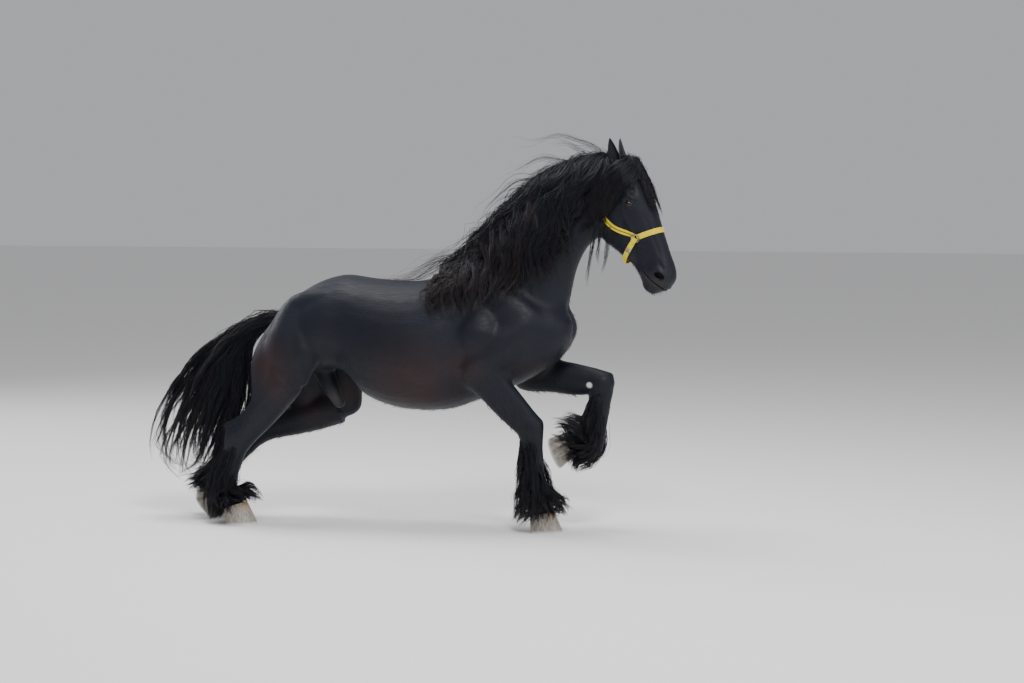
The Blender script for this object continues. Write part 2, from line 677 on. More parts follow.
def shapeLegs(points, normals):
    move = np.zeros(len(points))
    for name, joints in limbs.items():
        middle = "knee" if name.endswith("fore") else "hock"
        start, end = Vector(joints[middle]), Vector(joints["fetlock"])
        along = (end - start).normalized()
        flat = squared(left, along)
        tall = along.cross(flat)
        apart, behind, width, depth = legDetail["groove"]
        bone = [start.lerp(end, share) - tall * behind for share in legDetail["grooveShares"]]
        for turn in (1, -1):
            distance, _ = polyDistance(points, [place + flat * apart * turn for place in bone])
            move -= depth * swell(distance, width)
        for ahead, down, reach, height in legDetail[middle]:
            place = np.array(start + tall * ahead + along * down)
            move += height * swell(np.linalg.norm(points - place, axis=1), reach)
    return points + normals * move[:, None]


body = makeSkin()
form = bmesh.new()
form.from_mesh(body.data)
headX, headZ = skin["finerHead"]
finerFaces(form, lambda point: point.x > headX and point.z > headZ)
finerFaces(form, nearDetail)
form.to_mesh(body.data)
form.free()
print("skin faces", len(body.data.polygons))


def relaxSkin(weights, rounds):
    relax = body.modifiers.new("relax", "SMOOTH")
    relax.factor = 0.5
    relax.iterations = rounds
    group = body.vertex_groups.new(name="relax")
    for level in range(1, 11):
        chosen = np.nonzero(np.round(weights * 10) == level)[0]
        group.add([int(index) for index in chosen], level / 10, "REPLACE")
    relax.vertex_group = "relax"
    applyModifiers(body)
    body.vertex_groups.clear()


relaxSkin(1.0 * beyond(coordinates(body.data), skin["relaxedHead"]), skin["headRounds"])
points = coordinates(body.data)
soft = np.zeros(len(points))
for x, y, z, reach in details["soft"]:
    for turn in (1, -1):
        distance = np.linalg.norm(points - (x, y * turn, z), axis=1)
        soft = np.maximum(soft, 1 - softStep(distance, reach * 0.5, reach))
relaxSkin(soft, skin["joinRounds"])
points = coordinates(body.data) - normalsOf(body.data) * skin["inset"]
putCoordinates(body.data, points)
for shape in (shapeBody, shapeLegs, shapeHead):
    points = shape(points, normalsOf(body.data))
putCoordinates(body.data, points)
body.data.shade_smooth()


def treeOf(mesh):
    form = bmesh.new()
    form.from_mesh(mesh)
    tree = BVHTree.FromBMesh(form)
    form.free()
    return tree


skinTree = treeOf(body.data)
print("skin shaped")


# materials

def addNode(material, kind, **settings):
    node = material.node_tree.nodes.new("ShaderNode" + kind)
    for key, value in settings.items():
        if key in node.bl_rna.properties:
            setattr(node, key, value)
        else:
            node.inputs[key.replace("_", " ")].default_value = value
    return node


def join(material, source, target, output=0, socket=0):  # a source may be a node and its output's number
    if isinstance(source, tuple):
        source, output = source
    material.node_tree.links.new(source.outputs[output], target.inputs[socket])
    return target


def newMaterial(name, **sockets):
    material = bpy.data.materials.new(name)
    material.use_nodes = True
    shader = material.node_tree.nodes["Principled BSDF"]
    for key, value in sockets.items():
        value = (*value, 1) if isinstance(value, tuple) else value
        shader.inputs[key.replace("_", " ")].default_value = value
    return material, shader


def ramp(material, source, stops):  # stops: place and colour or grey
    node = addNode(material, "ValToRGB")
    while len(node.color_ramp.elements) < len(stops):
        node.color_ramp.elements.new(0.5)
    for element, (place, colour) in zip(node.color_ramp.elements, stops):
        element.position = place
        element.color = (*colour, 1) if isinstance(colour, tuple) else (colour, colour, colour, 1)
    return join(material, source, node, 0, "Fac")


def addNoise(material, source, scale, detail=2.0, roughness=0.5):
    node = addNode(material, "TexNoise", Scale=scale, Detail=detail, Roughness=roughness)
    return join(material, source, node, 0, "Vector")


def tinted(material, colour, mask, tint, amount=None):  # the colour with a tint where the mask lets it
    node = addNode(material, "Mix", data_type="RGBA")
    if amount is not None:
        mask = maths(material, "MULTIPLY", mask, amount)
    join(material, mask, node, 0, 0)
    for value, place in ((colour, 6), (tint, 7)):
        if isinstance(value, tuple) and len(value) == 3:
            node.inputs[place].default_value = (*value, 1)
        else:
            output = 2 if value.bl_idname == "ShaderNodeMix" else 0
            join(material, value, node, output, place)
    return node


def maths(material, kind, *values):
    node = addNode(material, "Math", operation=kind)
    for place, value in enumerate(values):
        if isinstance(value, (int, float)):
            node.inputs[place].default_value = value
        else:
            join(material, value, node, 0, place)
    return node


def mapRange(material, source, low, high, start=0.0, end=1.0, kind="LINEAR"):
    node = addNode(material, "MapRange", interpolation_type=kind)
    join(material, source, node, 0, 0)
    for socket, value in enumerate((low, high, start, end), 1):
        node.inputs[socket].default_value = value
    return node


def named(material, name):
    return (addNode(material, "Attribute", attribute_name=name), 2)


def addBump(material, shader, height, strength, distance, before=None):
    node = addNode(material, "Bump", Strength=strength, Distance=distance)
    join(material, height, node, 0, "Height")
    if before:
        join(material, before, node, 0, "Normal")
    join(material, node, shader, 0, "Normal")
    return node


def mirroredPlace(material):  # object coordinates with both sides the same
    where = addNode(material, "TexCoord")
    apart = join(material, where, addNode(material, "SeparateXYZ"), 3)
    again = addNode(material, "CombineXYZ")
    join(material, apart, again, 0, 0)
    join(material, maths(material, "ABSOLUTE", (apart, 1)), again, 0, 1)
    join(material, apart, again, 2, 2)
    return (where, 3), again


def spotMask(material, place, centre, radius, softness):
    reach = addNode(material, "VectorMath", operation="DISTANCE")
    join(material, place, reach, 0, 0)
    reach.inputs[1].default_value = centre
    return mapRange(material, (reach, 1), radius, radius * (1 - softness), kind="SMOOTHSTEP")


coatLook = {
    "black": (0.0032, 0.0043, 0.0086),
    "faded": (0.0058, 0.0076, 0.0142),
    "brown": (0.0420, 0.0145, 0.0100),
    "muzzle": (0.0240, 0.0210, 0.0215),
    "pale": (0.0900, 0.0820, 0.0790),
    "mark": (0.5600, 0.5400, 0.5000),
    "brownSpots": (  # place, radius, amount
        (0.130, 0.270, 0.700, 0.34, 0.55), (0.400, 0.230, 0.800, 0.15, 0.35),
        (-0.600, 0.210, 0.800, 0.20, 0.50), (-0.560, 0.240, 0.680, 0.14, 0.35),
        (0.640, 0.060, 0.820, 0.17, 0.35), (-0.330, 0.100, 0.640, 0.12, 0.40),
        (-0.520, 0.120, 0.560, 0.16, 0.35),
    ),
    "faceSpots": (  # place on the face, radius, amount, tint
        (0.590, -0.090, 0.045, 0.085, 0.8, "muzzle"), (0.555, -0.150, 0.030, 0.070, 0.7, "muzzle"),
        (0.448, -0.200, 0.050, 0.055, 0.35, "pale"), (0.566, -0.072, 0.040, 0.014, 0.6, "pale"),
    ),
    "sheathSpot": (-0.350, 0.0, 0.625, 0.075, 0.5),
    "forearmMark": (0.915, 0.085, 0.706, 0.021, 0.5),  # place, radius, softness of its edge
    "roughness": (0.44, 0.64),
    "lieOfHair": (0, math.radians(28), 0),
}


def makeCoat():
    material, shader = newMaterial(
        "coat", Roughness=0.46, Specular_IOR_Level=0.24, Sheen_Weight=0.02, Sheen_Roughness=0.45,
        Sheen_Tint=(0.55, 0.66, 0.95),
    )
    where, place = mirroredPlace(material)
    patches = addNoise(material, where, 2.6, 4.0, 0.6)
    fading = ramp(material, patches, ((0.35, 0.0), (0.68, 1.0)))
    colour = tinted(material, coatLook["black"], fading, coatLook["faded"])
    for *spot, radius, amount in coatLook["brownSpots"]:
        mask = maths(material, "MULTIPLY", spotMask(material, place, spot, radius, 1.0), amount)
        wander = maths(material, "MULTIPLY", mask, ramp(material, patches, ((0.30, 0.45), (0.62, 1.0))))
        colour = tinted(material, colour, wander, coatLook["brown"])
    for *spot, radius, amount, tint in coatLook["faceSpots"]:
        for side in (1, -1):
            mask = spotMask(material, where, facePoint(spot, side), radius, 1.0)
            colour = tinted(material, colour, mask, coatLook[tint], amount)
    *spot, radius, amount = coatLook["sheathSpot"]
    colour = tinted(material, colour, spotMask(material, where, spot, radius, 1.0), coatLook["pale"], amount)
    *spot, radius, softness = coatLook["forearmMark"]
    colour = tinted(material, colour, spotMask(material, where, spot, radius, softness), coatLook["mark"])
    join(material, colour, shader, 2, "Base Color")
    fine = addNode(material, "Mapping", Rotation=coatLook["lieOfHair"], Scale=(16, 150, 110))
    join(material, where, fine, 3, "Vector")
    hairs = addNoise(material, fine, 1.0, 5.0, 0.65)
    lows = addNoise(material, where, 34.0, 3.0)
    join(material, mapRange(material, hairs, 0.3, 0.7, *coatLook["roughness"]), shader, 0, "Roughness")
    first = addBump(material, shader, lows, 0.25, 0.0030)
    addBump(material, shader, hairs, 0.55, 0.0022, first)
    return material


hairLook = {
    "black": (0.0034, 0.0046, 0.0090),
    "brown": (0.0300, 0.0150, 0.0120),
    "roughness": (0.34, 0.50),
}


def makeHair():
    material, shader = newMaterial(
        "hair", Roughness=0.4, Specular_IOR_Level=0.30, Sheen_Weight=0.02, Sheen_Roughness=0.35,
        Sheen_Tint=(0.60, 0.70, 0.95),
    )
    where = addNode(material, "TexCoord")
    noise = addNoise(material, (where, 3), 9.0, 3.0, 0.6)
    varied = maths(material, "ADD", named(material, "tone"), maths(material, "MULTIPLY", noise, 0.35))
    mask = ramp(material, varied, ((0.36, 0.0), (1.00, 1.0)))
    colour = tinted(material, hairLook["black"], mask, hairLook["brown"])
    join(material, colour, shader, 2, "Base Color")
    join(material, mapRange(material, noise, 0.25, 0.75, *hairLook["roughness"]), shader, 0, "Roughness")
    return material


hornLook = {
    "grey": (0.360, 0.330, 0.290),
    "dark": (0.150, 0.125, 0.100),
    "amber": (0.520, 0.290, 0.085),
    "edge": (0.700, 0.700, 0.700),
    "sole": (0.300, 0.260, 0.210),
    "dirt": (0.200, 0.165, 0.125),
    "growthRings": 62.0,
}


def makeHorn():
    material, shader = newMaterial("horn", Roughness=0.45, Coat_Weight=0.15, Coat_Roughness=0.30)
    down, toe, turn = (named(material, name) for name in ("down", "toe", "turn"))
    where = addNode(material, "TexCoord")
    streakPlace = addNode(material, "CombineXYZ")
    join(material, turn, streakPlace)
    join(material, maths(material, "MULTIPLY", down, 0.35), streakPlace, 0, 1)
    streaks = addNoise(material, streakPlace, 9.0, 6.0, 0.7)
    blotches = addNoise(material, (where, 3), 38.0, 4.0)
    darker = ramp(material, streaks, ((0.40, 0.0), (0.66, 1.0)))
    colour = tinted(material, hornLook["grey"], darker, hornLook["dark"])
    amberTop = ramp(material, down, ((0.02, 0.9), (0.50, 0.0)))
    amberFront = ramp(material, toe, ((0.45, 0.0), (0.95, 1.0)))
    amber = maths(material, "MULTIPLY", amberTop, amberFront)
    amber = maths(material, "MULTIPLY", amber, ramp(material, blotches, ((0.35, 0.3), (0.62, 1.0))))
    colour = tinted(material, colour, amber, hornLook["amber"])
    colour = tinted(material, colour, ramp(material, down, ((0.86, 0.0), (0.97, 0.85))), hornLook["edge"])
    colour = tinted(material, colour, named(material, "sole"), hornLook["sole"])
    colour = tinted(material, colour, ramp(material, blotches, ((0.50, 0.0), (0.80, 0.5))), hornLook["dirt"])
    join(material, colour, shader, 2, "Base Color")
    rings = maths(material, "SINE", maths(material, "MULTIPLY", down, hornLook["growthRings"]))
    first = addBump(material, shader, rings, 0.25, 0.0008)
    addBump(material, shader, streaks, 0.35, 0.0010, first)
    return material


webbingLook = {
    "yellow": (0.780, 0.620, 0.002),
    "shade": (0.500, 0.350, 0.001),
    "thread": (0.860, 0.720, 0.120),
    "split": (0.018, 0.014, 0.008),  # the dark gap along a doubled strap
    "ribs": 1150.0,
    "stitches": 1500.0,
    "stitchPlace": 0.0095,
}


def makeWebbing(name, split=False):
    material, shader = newMaterial(name, Roughness=0.62, Specular_IOR_Level=0.35, Sheen_Weight=0.10)
    along, across = named(material, "along"), named(material, "across")
    where = addNode(material, "TexCoord")
    ribs = maths(material, "SINE", maths(material, "MULTIPLY", across, webbingLook["ribs"] * 2))
    picks = maths(material, "SINE", maths(material, "MULTIPLY", along, webbingLook["ribs"]))
    weave = maths(material, "MULTIPLY", ribs, picks)
    weaveMask = mapRange(material, weave, -1.0, 1.0)
    grime = addNoise(material, (where, 3), 45.0, 5.0, 0.65)
    stained = ramp(material, grime, ((0.38, 0.0), (0.75, 0.55)))
    colour = tinted(material, webbingLook["yellow"], stained, webbingLook["shade"])
    colour = tinted(material, colour, weaveMask, webbingLook["shade"], 0.22)
    edge = maths(material, "ABSOLUTE", across)
    worn = mapRange(material, edge, 0.0108, 0.0130, 0.0, 0.55)
    colour = tinted(material, colour, worn, webbingLook["shade"])
    dash = maths(material, "SINE", maths(material, "MULTIPLY", along, webbingLook["stitches"]))
    offStitch = maths(material, "ABSOLUTE", maths(material, "SUBTRACT", edge, webbingLook["stitchPlace"]))
    near = mapRange(material, offStitch, 0.0009, 0.0004)
    stitch = maths(material, "MULTIPLY", near, ramp(material, dash, ((0.05, 0.0), (0.15, 1.0))))
    colour = tinted(material, colour, stitch, webbingLook["thread"])
    if split:
        gap = mapRange(material, edge, 0.0030, 0.0016, 0.0, 0.97)
        colour = tinted(material, colour, gap, webbingLook["split"])
    join(material, colour, shader, 2, "Base Color")
    first = addBump(material, shader, weave, 0.45, 0.0005)
    addBump(material, shader, stitch, 0.6, 0.0007, first)
    return material


metalLook = {"bright": (0.360, 0.315, 0.270), "tarnish": (0.120, 0.075, 0.050)}


def makeMetal():
    material, shader = newMaterial("ringMetal", Metallic=1.0, Roughness=0.32)
    where = addNode(material, "TexCoord")
    tarnish = addNoise(material, (where, 3), 70.0, 5.0, 0.6)
    mask = ramp(material, tarnish, ((0.40, 0.0), (0.66, 1.0)))
    colour = tinted(material, metalLook["bright"], mask, metalLook["tarnish"])
    join(material, colour, shader, 2, "Base Color")
    join(material, ramp(material, tarnish, ((0.3, 0.22), (0.7, 0.48))), shader, 0, "Roughness")
    addBump(material, shader, tarnish, 0.2, 0.0006)
    return material


eyeLook = {
    "iris": (  # distance from the middle in fortieths of a metre, and colour
        (0.30, (0.010, 0.004, 0.002)), (0.46, (0.020, 0.008, 0.004)), (0.56, (0.004, 0.003, 0.002)),
        (0.70, (0.008, 0.005, 0.004)),
    ),
    "spokes": (0.018, 0.008, 0.004),
    "pupil": (0.002, 0.002, 0.003),
    "pupilSize": (0.0078, 0.0042),
}


def makeEyeMaterial():
    material, shader = newMaterial(
        "eye", Roughness=0.10, Coat_Weight=0.25, Coat_Roughness=0.02, Specular_IOR_Level=0.25,
    )
    place = addNode(material, "CombineXYZ")
    join(material, named(material, "slit"), place, 2, 0)
    join(material, named(material, "across"), place, 2, 1)
    reach = join(material, place, addNode(material, "VectorMath", operation="LENGTH"))
    spokes = addNoise(material, place, 420.0, 3.0)
    scaled = maths(material, "MULTIPLY", (reach, 1), 40.0)
    iris = ramp(material, scaled, eyeLook["iris"])
    colour = tinted(material, iris, ramp(material, spokes, ((0.4, 0.0), (0.7, 0.45))), eyeLook["spokes"])
    wide, tall = eyeLook["pupilSize"]
    oval = join(material, place, addNode(material, "Mapping", Scale=(1 / wide, 1 / tall, 1)))
    pupil = join(material, oval, addNode(material, "VectorMath", operation="LENGTH"))
    colour = tinted(material, colour, mapRange(material, (pupil, 1), 1.1, 0.9), eyeLook["pupil"])
    join(material, colour, shader, 2, "Base Color")
    return material


coat = makeCoat()
hair = makeHair()
horn = makeHorn()
webbing = makeWebbing("webbing")
splitWebbing = makeWebbing("splitWebbing", split=True)
metal = makeMetal()
eyeMaterial = makeEyeMaterial()
print("materials made")

flesh = ["head", "neck", "torso", "hindquarters"]
for word in ("right", "left"):
    flesh += [word + part for part in ("_forearm", "_fore_cannon", "_gaskin", "_hind_cannon")]


def belongs(thing, slotName, *nodes):
    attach(thing, "root")
    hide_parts(*nodes)


body.data.materials.append(coat)
belongs(body, "coat", *flesh)


# eyes

def addCoordinates(mesh, **values):  # numbers for every vertex, read by the materials
    for name, numbers in values.items():
        layer = mesh.attributes.new(name, "FLOAT", "POINT")
        layer.data.foreach_set("value", np.asarray(numbers, dtype=np.float32))


def makeEye(side, word):
    form = bmesh.new()
    bmesh.ops.create_uvsphere(form, u_segments=48, v_segments=32, radius=eye["radius"] - eye["ballGap"])
    centre = facePoint(eye["place"], side)
    outward, slit, across = eyeAxes(side)
    turn = Matrix((slit, across, outward)).transposed()
    for vert in form.verts:
        front = vert.co.z / eye["radius"]
        vert.co *= 1 + 0.05 * max(0, front - 0.72) / 0.28
        vert.co = centre + turn @ vert.co
    thing = fromBmesh(word + "_eyeball", form, eyeMaterial)
    places = [turn.transposed() @ (vert.co - centre) for vert in thing.data.vertices]
    behind = [9.0 if place.z < 0 else 1.0 for place in places]  # keeps the iris off the ball's back
    slits, acrosses = ([place[axis] * far for place, far in zip(places, behind)] for axis in (0, 1))
    addCoordinates(thing.data, slit=slits, across=acrosses)
    belongs(thing, "eye", word + "_eye")


for side, word in sides:
    makeEye(side, word)

# ears: a thin shell curled round an open front

ear = {
    "base": (0.012, -0.105, 0.050),
    "lean": Vector((-0.300, 0.040, 0.950)).normalized(),
    "sections": (  # height, half width, half depth, how far round it is open in degrees
        (-0.030, 0.0190, 0.0190, 4), (0.000, 0.0235, 0.0210, 6), (0.018, 0.0265, 0.0215, 34),
        (0.045, 0.0290, 0.0205, 62), (0.072, 0.0270, 0.0175, 72), (0.098, 0.0205, 0.0135, 74),
        (0.120, 0.0125, 0.0095, 70), (0.134, 0.0062, 0.0055, 60), (0.141, 0.0026, 0.0026, 40),
    ),
    "wall": 0.0032,
    "curl": 0.012,
}


def earFrame(side):
    opens = squared(headAxes()[1] * 0.75 + left * side * 0.65, ear["lean"])
    return ear["lean"], opens, ear["lean"].cross(opens)


def earPlace(side, height, angle, halfWidth, halfDepth):
    lean, opens, across = earFrame(side)
    base = facePoint(ear["base"], side)
    middle = base + lean * height + opens * ear["curl"] * (height / 0.14) ** 2
    return middle + across * halfWidth * math.sin(angle) + opens * halfDepth * math.cos(angle)


def makeEar(side, word):
    form = bmesh.new()
    half = 15
    rings = []
    for height, halfWidth, halfDepth, opening in smoothRows(ear["sections"], 4):
        gap = math.radians(max(opening, 2))
        wall = min(ear["wall"], halfWidth * 0.45, halfDepth * 0.45)
        made = bmesh.ops.create_circle(form, cap_ends=False, radius=1, segments=2 * half)["verts"]
        for index, vert in enumerate(made):
            outside = index < half
            step = index if outside else 2 * half - 1 - index
            angle = gap + (fullTurn - 2 * gap) * step / (half - 1)
            slim = 0 if outside else wall
            vert.co = earPlace(side, height, angle, halfWidth - slim, halfDepth - slim)
        rings.append(list({edge for vert in made for edge in vert.link_edges}))
    bridgeRings(form, rings)
    thing = fromBmesh(word + "_ear_shell", form, coat)
    soft = thing.modifiers.new("soft", "SUBSURF")
    soft.levels = soft.render_levels = 1
    applyModifiers(thing)
    thing.data.shade_smooth()
    belongs(thing, "coat", word + "_ear")


for side, word in sides:
    makeEar(side, word)
print("eyes and ears made")

# hooves

hoof = {
    "sections": (  # share of the height, half width, reach to the toe and to the heel
        (0.00, 0.0590, 0.0610, 0.0570), (0.06, 0.0600, 0.0632, 0.0575), (0.14, 0.0610, 0.0660, 0.0580),
        (0.35, 0.0635, 0.0715, 0.0598), (0.60, 0.0670, 0.0790, 0.0620), (0.82, 0.0702, 0.0850, 0.0642),
        (0.96, 0.0725, 0.0892, 0.0656), (1.00, 0.0730, 0.0900, 0.0660),
    ),
    "faces": {
        "right_fore": (0.00, 0, -1.00), "left_fore": (-0.93, 0, -0.37),
        "right_hind": (0.00, 0, -1.00), "left_hind": (-0.766, 0, -0.643),
    },
    "inward": (0.0055, 0.0110, 0.0140, 0.026, 0.038, 0.050, 0.060),  # rings across the sole
    "segments": 48,
    "ripple": 0.0006,
    "ripples": 62,
    "roundness": 2.2,
    "rim": 0.011,
    "hollow": 0.010,
    "frog": (0.017, 0.009),  # its half width at the heel, its height
}


def makeHoof(name):
    joints = limbs[name]
    coronet, ground = Vector(joints["coronet"]), Vector(joints["ground"])
    axis = (ground - coronet).normalized()
    faces = Vector(hoof["faces"][name]).normalized()
    form = bmesh.new()
    down, toe, turned, sole = (form.verts.layers.float.new(key) for key in ("down", "toe", "turn", "sole"))
    rings = []
    rows = [(share, w, t, h, 0.0) for share, w, t, h in smoothRows(hoof["sections"], 4)]
    last = rows[-1]
    for inward in hoof["inward"]:
        rows.append((1.0, last[1] - inward, last[2] - inward * 1.1, last[3] - inward, 1.0))
    for share, halfWidth, toward, heel, under in rows:
        through = axis.lerp(faces, share).normalized()
        flat = squared(left, through)
        tall = through.cross(flat)
        middle = coronet.lerp(ground, share)
        wave = hoof["ripple"] * math.sin(share * hoof["ripples"]) * (1 - under)
        before = set(form.verts)
        sizes = (halfWidth + wave, toward + wave, heel + wave, hoof["segments"], hoof["roundness"])
        rings.append(addRing(form, middle, flat, tall, *sizes))
        for vert in set(form.verts) - before:
            aside = vert.co - middle
            x, y = aside.dot(flat), aside.dot(tall)
            vert[down] = share
            vert[toe] = y / max(math.hypot(x, y), 1e-6) * (1 - under)
            vert[turned] = math.atan2(x, y)
            vert[sole] = 1.0 if under and halfWidth < last[1] - hoof["rim"] * 0.9 else 0.0
            if vert[sole]:
                out = math.hypot(x / last[1], y / last[2])
                lift = hoof["hollow"] * min(1.0, (1 - out) * 3.2)
                wedge = hoof["frog"][0] * max(0.0, min(1.0, (0.030 - y) / 0.080))
                ridge = max(0.0, 1 - abs(x) / max(wedge, 1e-4)) if wedge > 0.001 else 0.0
                cleft = math.exp(-((x / 0.004) ** 2)) * max(0.0, min(1.0, -y / 0.03))
                lift -= hoof["frog"][1] * ridge * (1 - 0.5 * cleft)
                vert.co -= faces * lift
    bridgeRings(form, rings)
    for vert in form.verts:
        vert.co.z = max(vert.co.z, 0.0)
    belongs(fromBmesh(name + "_horn", form, horn), "hoof", name + "_hoof")


for name in limbs:
    makeHoof(name)
print("hooves made")

# halter

halter = {
    "width": 0.026,
    "thickness": 0.0030,
    "lift": 0.0012,
    "ring": (0.360, -0.117),
    "ringRadius": 0.0200,
    "wire": 0.0036,
    "noseArc": 84,
    "chinWidth": 0.068,
    "crown": (0.020, -0.165, 0.080),  # its lowest places on the face
    "crownReach": (0.060, 0.040),  # how far back and up it goes
    "chinBottom": (0.440, -0.238),
    "cheek": ((0.320, -0.160), (0.265, -0.215), (0.190, -0.235), (0.100, -0.210), (0.020, -0.165)),
    "foldLength": 0.030,
    "keeperPlace": 0.22,
    "keeperHalf": 4,  # in steps of the chin strap's path
    "steps": 120,
}


def skinNear(point):
    near, normal, _, _ = skinTree.find_nearest(point)
    return near, normal


def laidOn(points, centre, lift):
    laid = []
    for point in points:
        aim = (centre - point).normalized()
        hit, normal, _, _ = skinTree.ray_cast(point + aim * -0.3, aim)
        laid.append(hit + normal * lift)
    return laid


def pushedOut(points, lift):
    pushed = []
    for point in points:
        near, normal = skinNear(point)
        if (point - near).dot(normal) < lift:
            point = near + normal * lift
        pushed.append(point)
    return pushed


def settled(points, lift):
    return [near + normal * lift for near, normal in map(skinNear, points)]


def raised(points, share):  # lifted off the skin by a share of the webbing's thickness
    return [point + skinNear(point)[1] * (halter["thickness"] * share) for point in points]


def evenPath(points, count):
    rows = np.array(smoothRows([tuple(p) for p in points], 8))
    gone = np.concatenate([[0], np.cumsum(np.linalg.norm(np.diff(rows, axis=0), axis=1))])
    want = np.linspace(0, gone[-1], count)
    return [Vector([np.interp(w, gone, rows[:, k]) for k in range(3)]) for w in want], gone[-1]


def calm(points, rounds=2):  # evens out a path without moving its ends
    for _ in range(rounds):
        inner = [a.lerp(c, 0.5).lerp(b, 0.5) for a, b, c in zip(points, points[1:], points[2:])]
        points = [points[0], *inner, points[-1]]
    return points


def makeStrap(name, path, material, node, count, wider=1.0, thickness=halter["thickness"], slotName="strap"):
    width = halter["width"] * wider
    points, length = evenPath(path, count)
    form = bmesh.new()
    alongLayer, acrossLayer = (form.verts.layers.float.new(key) for key in ("along", "across"))
    ways = [after - before for before, after in zip([points[0], *points], [*points[1:], points[-1]])]
    ways = [way.normalized() for way in ways]
    outs = calm([squared(skinNear(point)[1], along) for point, along in zip(points, ways)], 4)
    rings = []
    for here, (point, along, out) in enumerate(zip(points, ways, outs)):
        out = squared(out, along)
        wide = along.cross(out)
        before = set(form.verts)
        middle = point + out * thickness / 2
        rings.append(addRing(form, middle, wide, out, width / 2, thickness / 2, thickness / 2, 16, 5.0))
        for vert in set(form.verts) - before:
            vert[alongLayer] = length * here / (count - 1)
            vert[acrossLayer] = (vert.co - middle).dot(wide)
    bridgeRings(form, rings)
    belongs(fromBmesh(name, form, material), slotName, node)


def makeRing(side, word):
    along, _, sideways = headAxes()
    place, level = halter["ring"]
    start = headPoint(place, level, 0.3 * side)
    hit, normal, _, _ = skinTree.ray_cast(start, -sideways * side)
    centre = hit + normal * (halter["wire"] + halter["lift"])
    flat = squared(along, normal)
    wide = normal.cross(flat)
    form = bmesh.new()
    turn = Matrix((flat, normal, wide)).transposed().to_4x4()
    at = Matrix.Translation(centre + flat * halter["ringRadius"]) @ turn
    wire = bmesh.ops.create_circle(form, cap_ends=False, radius=halter["wire"], segments=14, matrix=at)
    ring = wire["verts"] + list({edge for vert in wire["verts"] for edge in vert.link_edges})
    bmesh.ops.spin(form, geom=ring, cent=centre, axis=normal, dvec=(0, 0, 0), angle=fullTurn, steps=48,
                   use_merge=True, use_duplicate=False)
    belongs(fromBmesh("halter_metal_" + word, form, metal), "ring", "halter_ring_" + word)


def makeHalter():
    _, out, sideways = headAxes()
    place, level = halter["ring"]
    axis = headPoint(place, level)
    lift = halter["lift"]
    for side, word in sides:
        makeRing(side, word)
    fan = [axis + (sideways * math.sin(a) + out * math.cos(a)) * 0.2 for a in arc(28, halter["noseArc"])]
    nose = calm(laidOn(fan, axis, lift + 0.0008))
    chinPlace, chinLevel = halter["chinBottom"]
    chin = []
    for a in arc(28, 90):
        down = math.cos(a)
        alongFace, outOfFace = place + (chinPlace - place) * down, level + (chinLevel - level) * down
        chin.append(headPoint(alongFace, outOfFace, halter["chinWidth"] * math.sin(a)))
    chin = calm(pushedOut(chin, lift))
    makeStrap("halter_nose_webbing", nose, webbing, "halter_noseband", 90)
    makeStrap("halter_chin_webbing", chin, webbing, "halter_chin_strap", 90)
    (low, deep, apart), (back, rise) = halter["crown"], halter["crownReach"]
    crown = []
    for a in arc(20, 90):
        crown.append(headPoint(low - back * math.cos(a), deep + rise * math.cos(a), apart * math.sin(a)))
    makeStrap("halter_crown_webbing", pushedOut(crown, lift + 0.001), webbing, "halter_crown", 60)
    folds = []
    for side, word in sides:
        points = [headPoint(a, o, 0.09 * side) for a, o in (halter["ring"], *halter["cheek"])]
        cheek = settled([Vector(row) for row in smoothRows([tuple(p) for p in points], 4)], lift)
        makeStrap("halter_cheek_webbing_" + word, calm(cheek), splitWebbing, "halter_cheek_strap_" + word, 80)
        folds.append(("cheek_" + word, cheek, splitWebbing, "halter_cheek_strap_" + word))
    for name, path in (("nose", nose), ("chin", chin)):
        node = "halter_noseband" if name == "nose" else "halter_chin_strap"
        folds += [(name + "_left", path[::-1], webbing, node), (name + "_right", path, webbing, node)]
    count = halter["steps"]
    for name, path, material, node in folds:
        points, length = evenPath(path, count)
        steps = int(count * halter["foldLength"] / length) + 1
        makeStrap("halter_fold_" + name, raised(points[2:steps], 0.9), material, node, 14, wider=0.99)
    here, half = int(count * halter["keeperPlace"]), halter["keeperHalf"]
    for word, path in (("right", chin), ("left", chin[::-1])):
        points = evenPath(path, count)[0][here - half : here + half - 1]
        makeStrap("halter_keeper_" + word, raised(points, 0.7), metal, "halter_chin_strap", 12, wider=1.16,
                  thickness=0.0036, slotName="ring")


makeHalter()
print("halter made")


# hair: tapered strands in clumps that follow guides

strand = {"seed": 11, "flatness": 0.62, "patch": 0.003}
chance = np.random.default_rng(strand["seed"])


def resample(rows, count):
    rows = np.asarray(rows, dtype=float)
    gone = np.concatenate([[0], np.cumsum(np.linalg.norm(np.diff(rows, axis=0), axis=1))])
    want = np.linspace(0, gone[-1], count)
    return np.stack([np.interp(want, gone, rows[:, k]) for k in range(3)], axis=1)


def guideThrough(points, count):
    return resample(smoothRows([tuple(p) for p in points], 6), count)


def unit(vectors):
    return vectors / np.maximum(np.linalg.norm(vectors, axis=-1, keepdims=True), 1e-9)


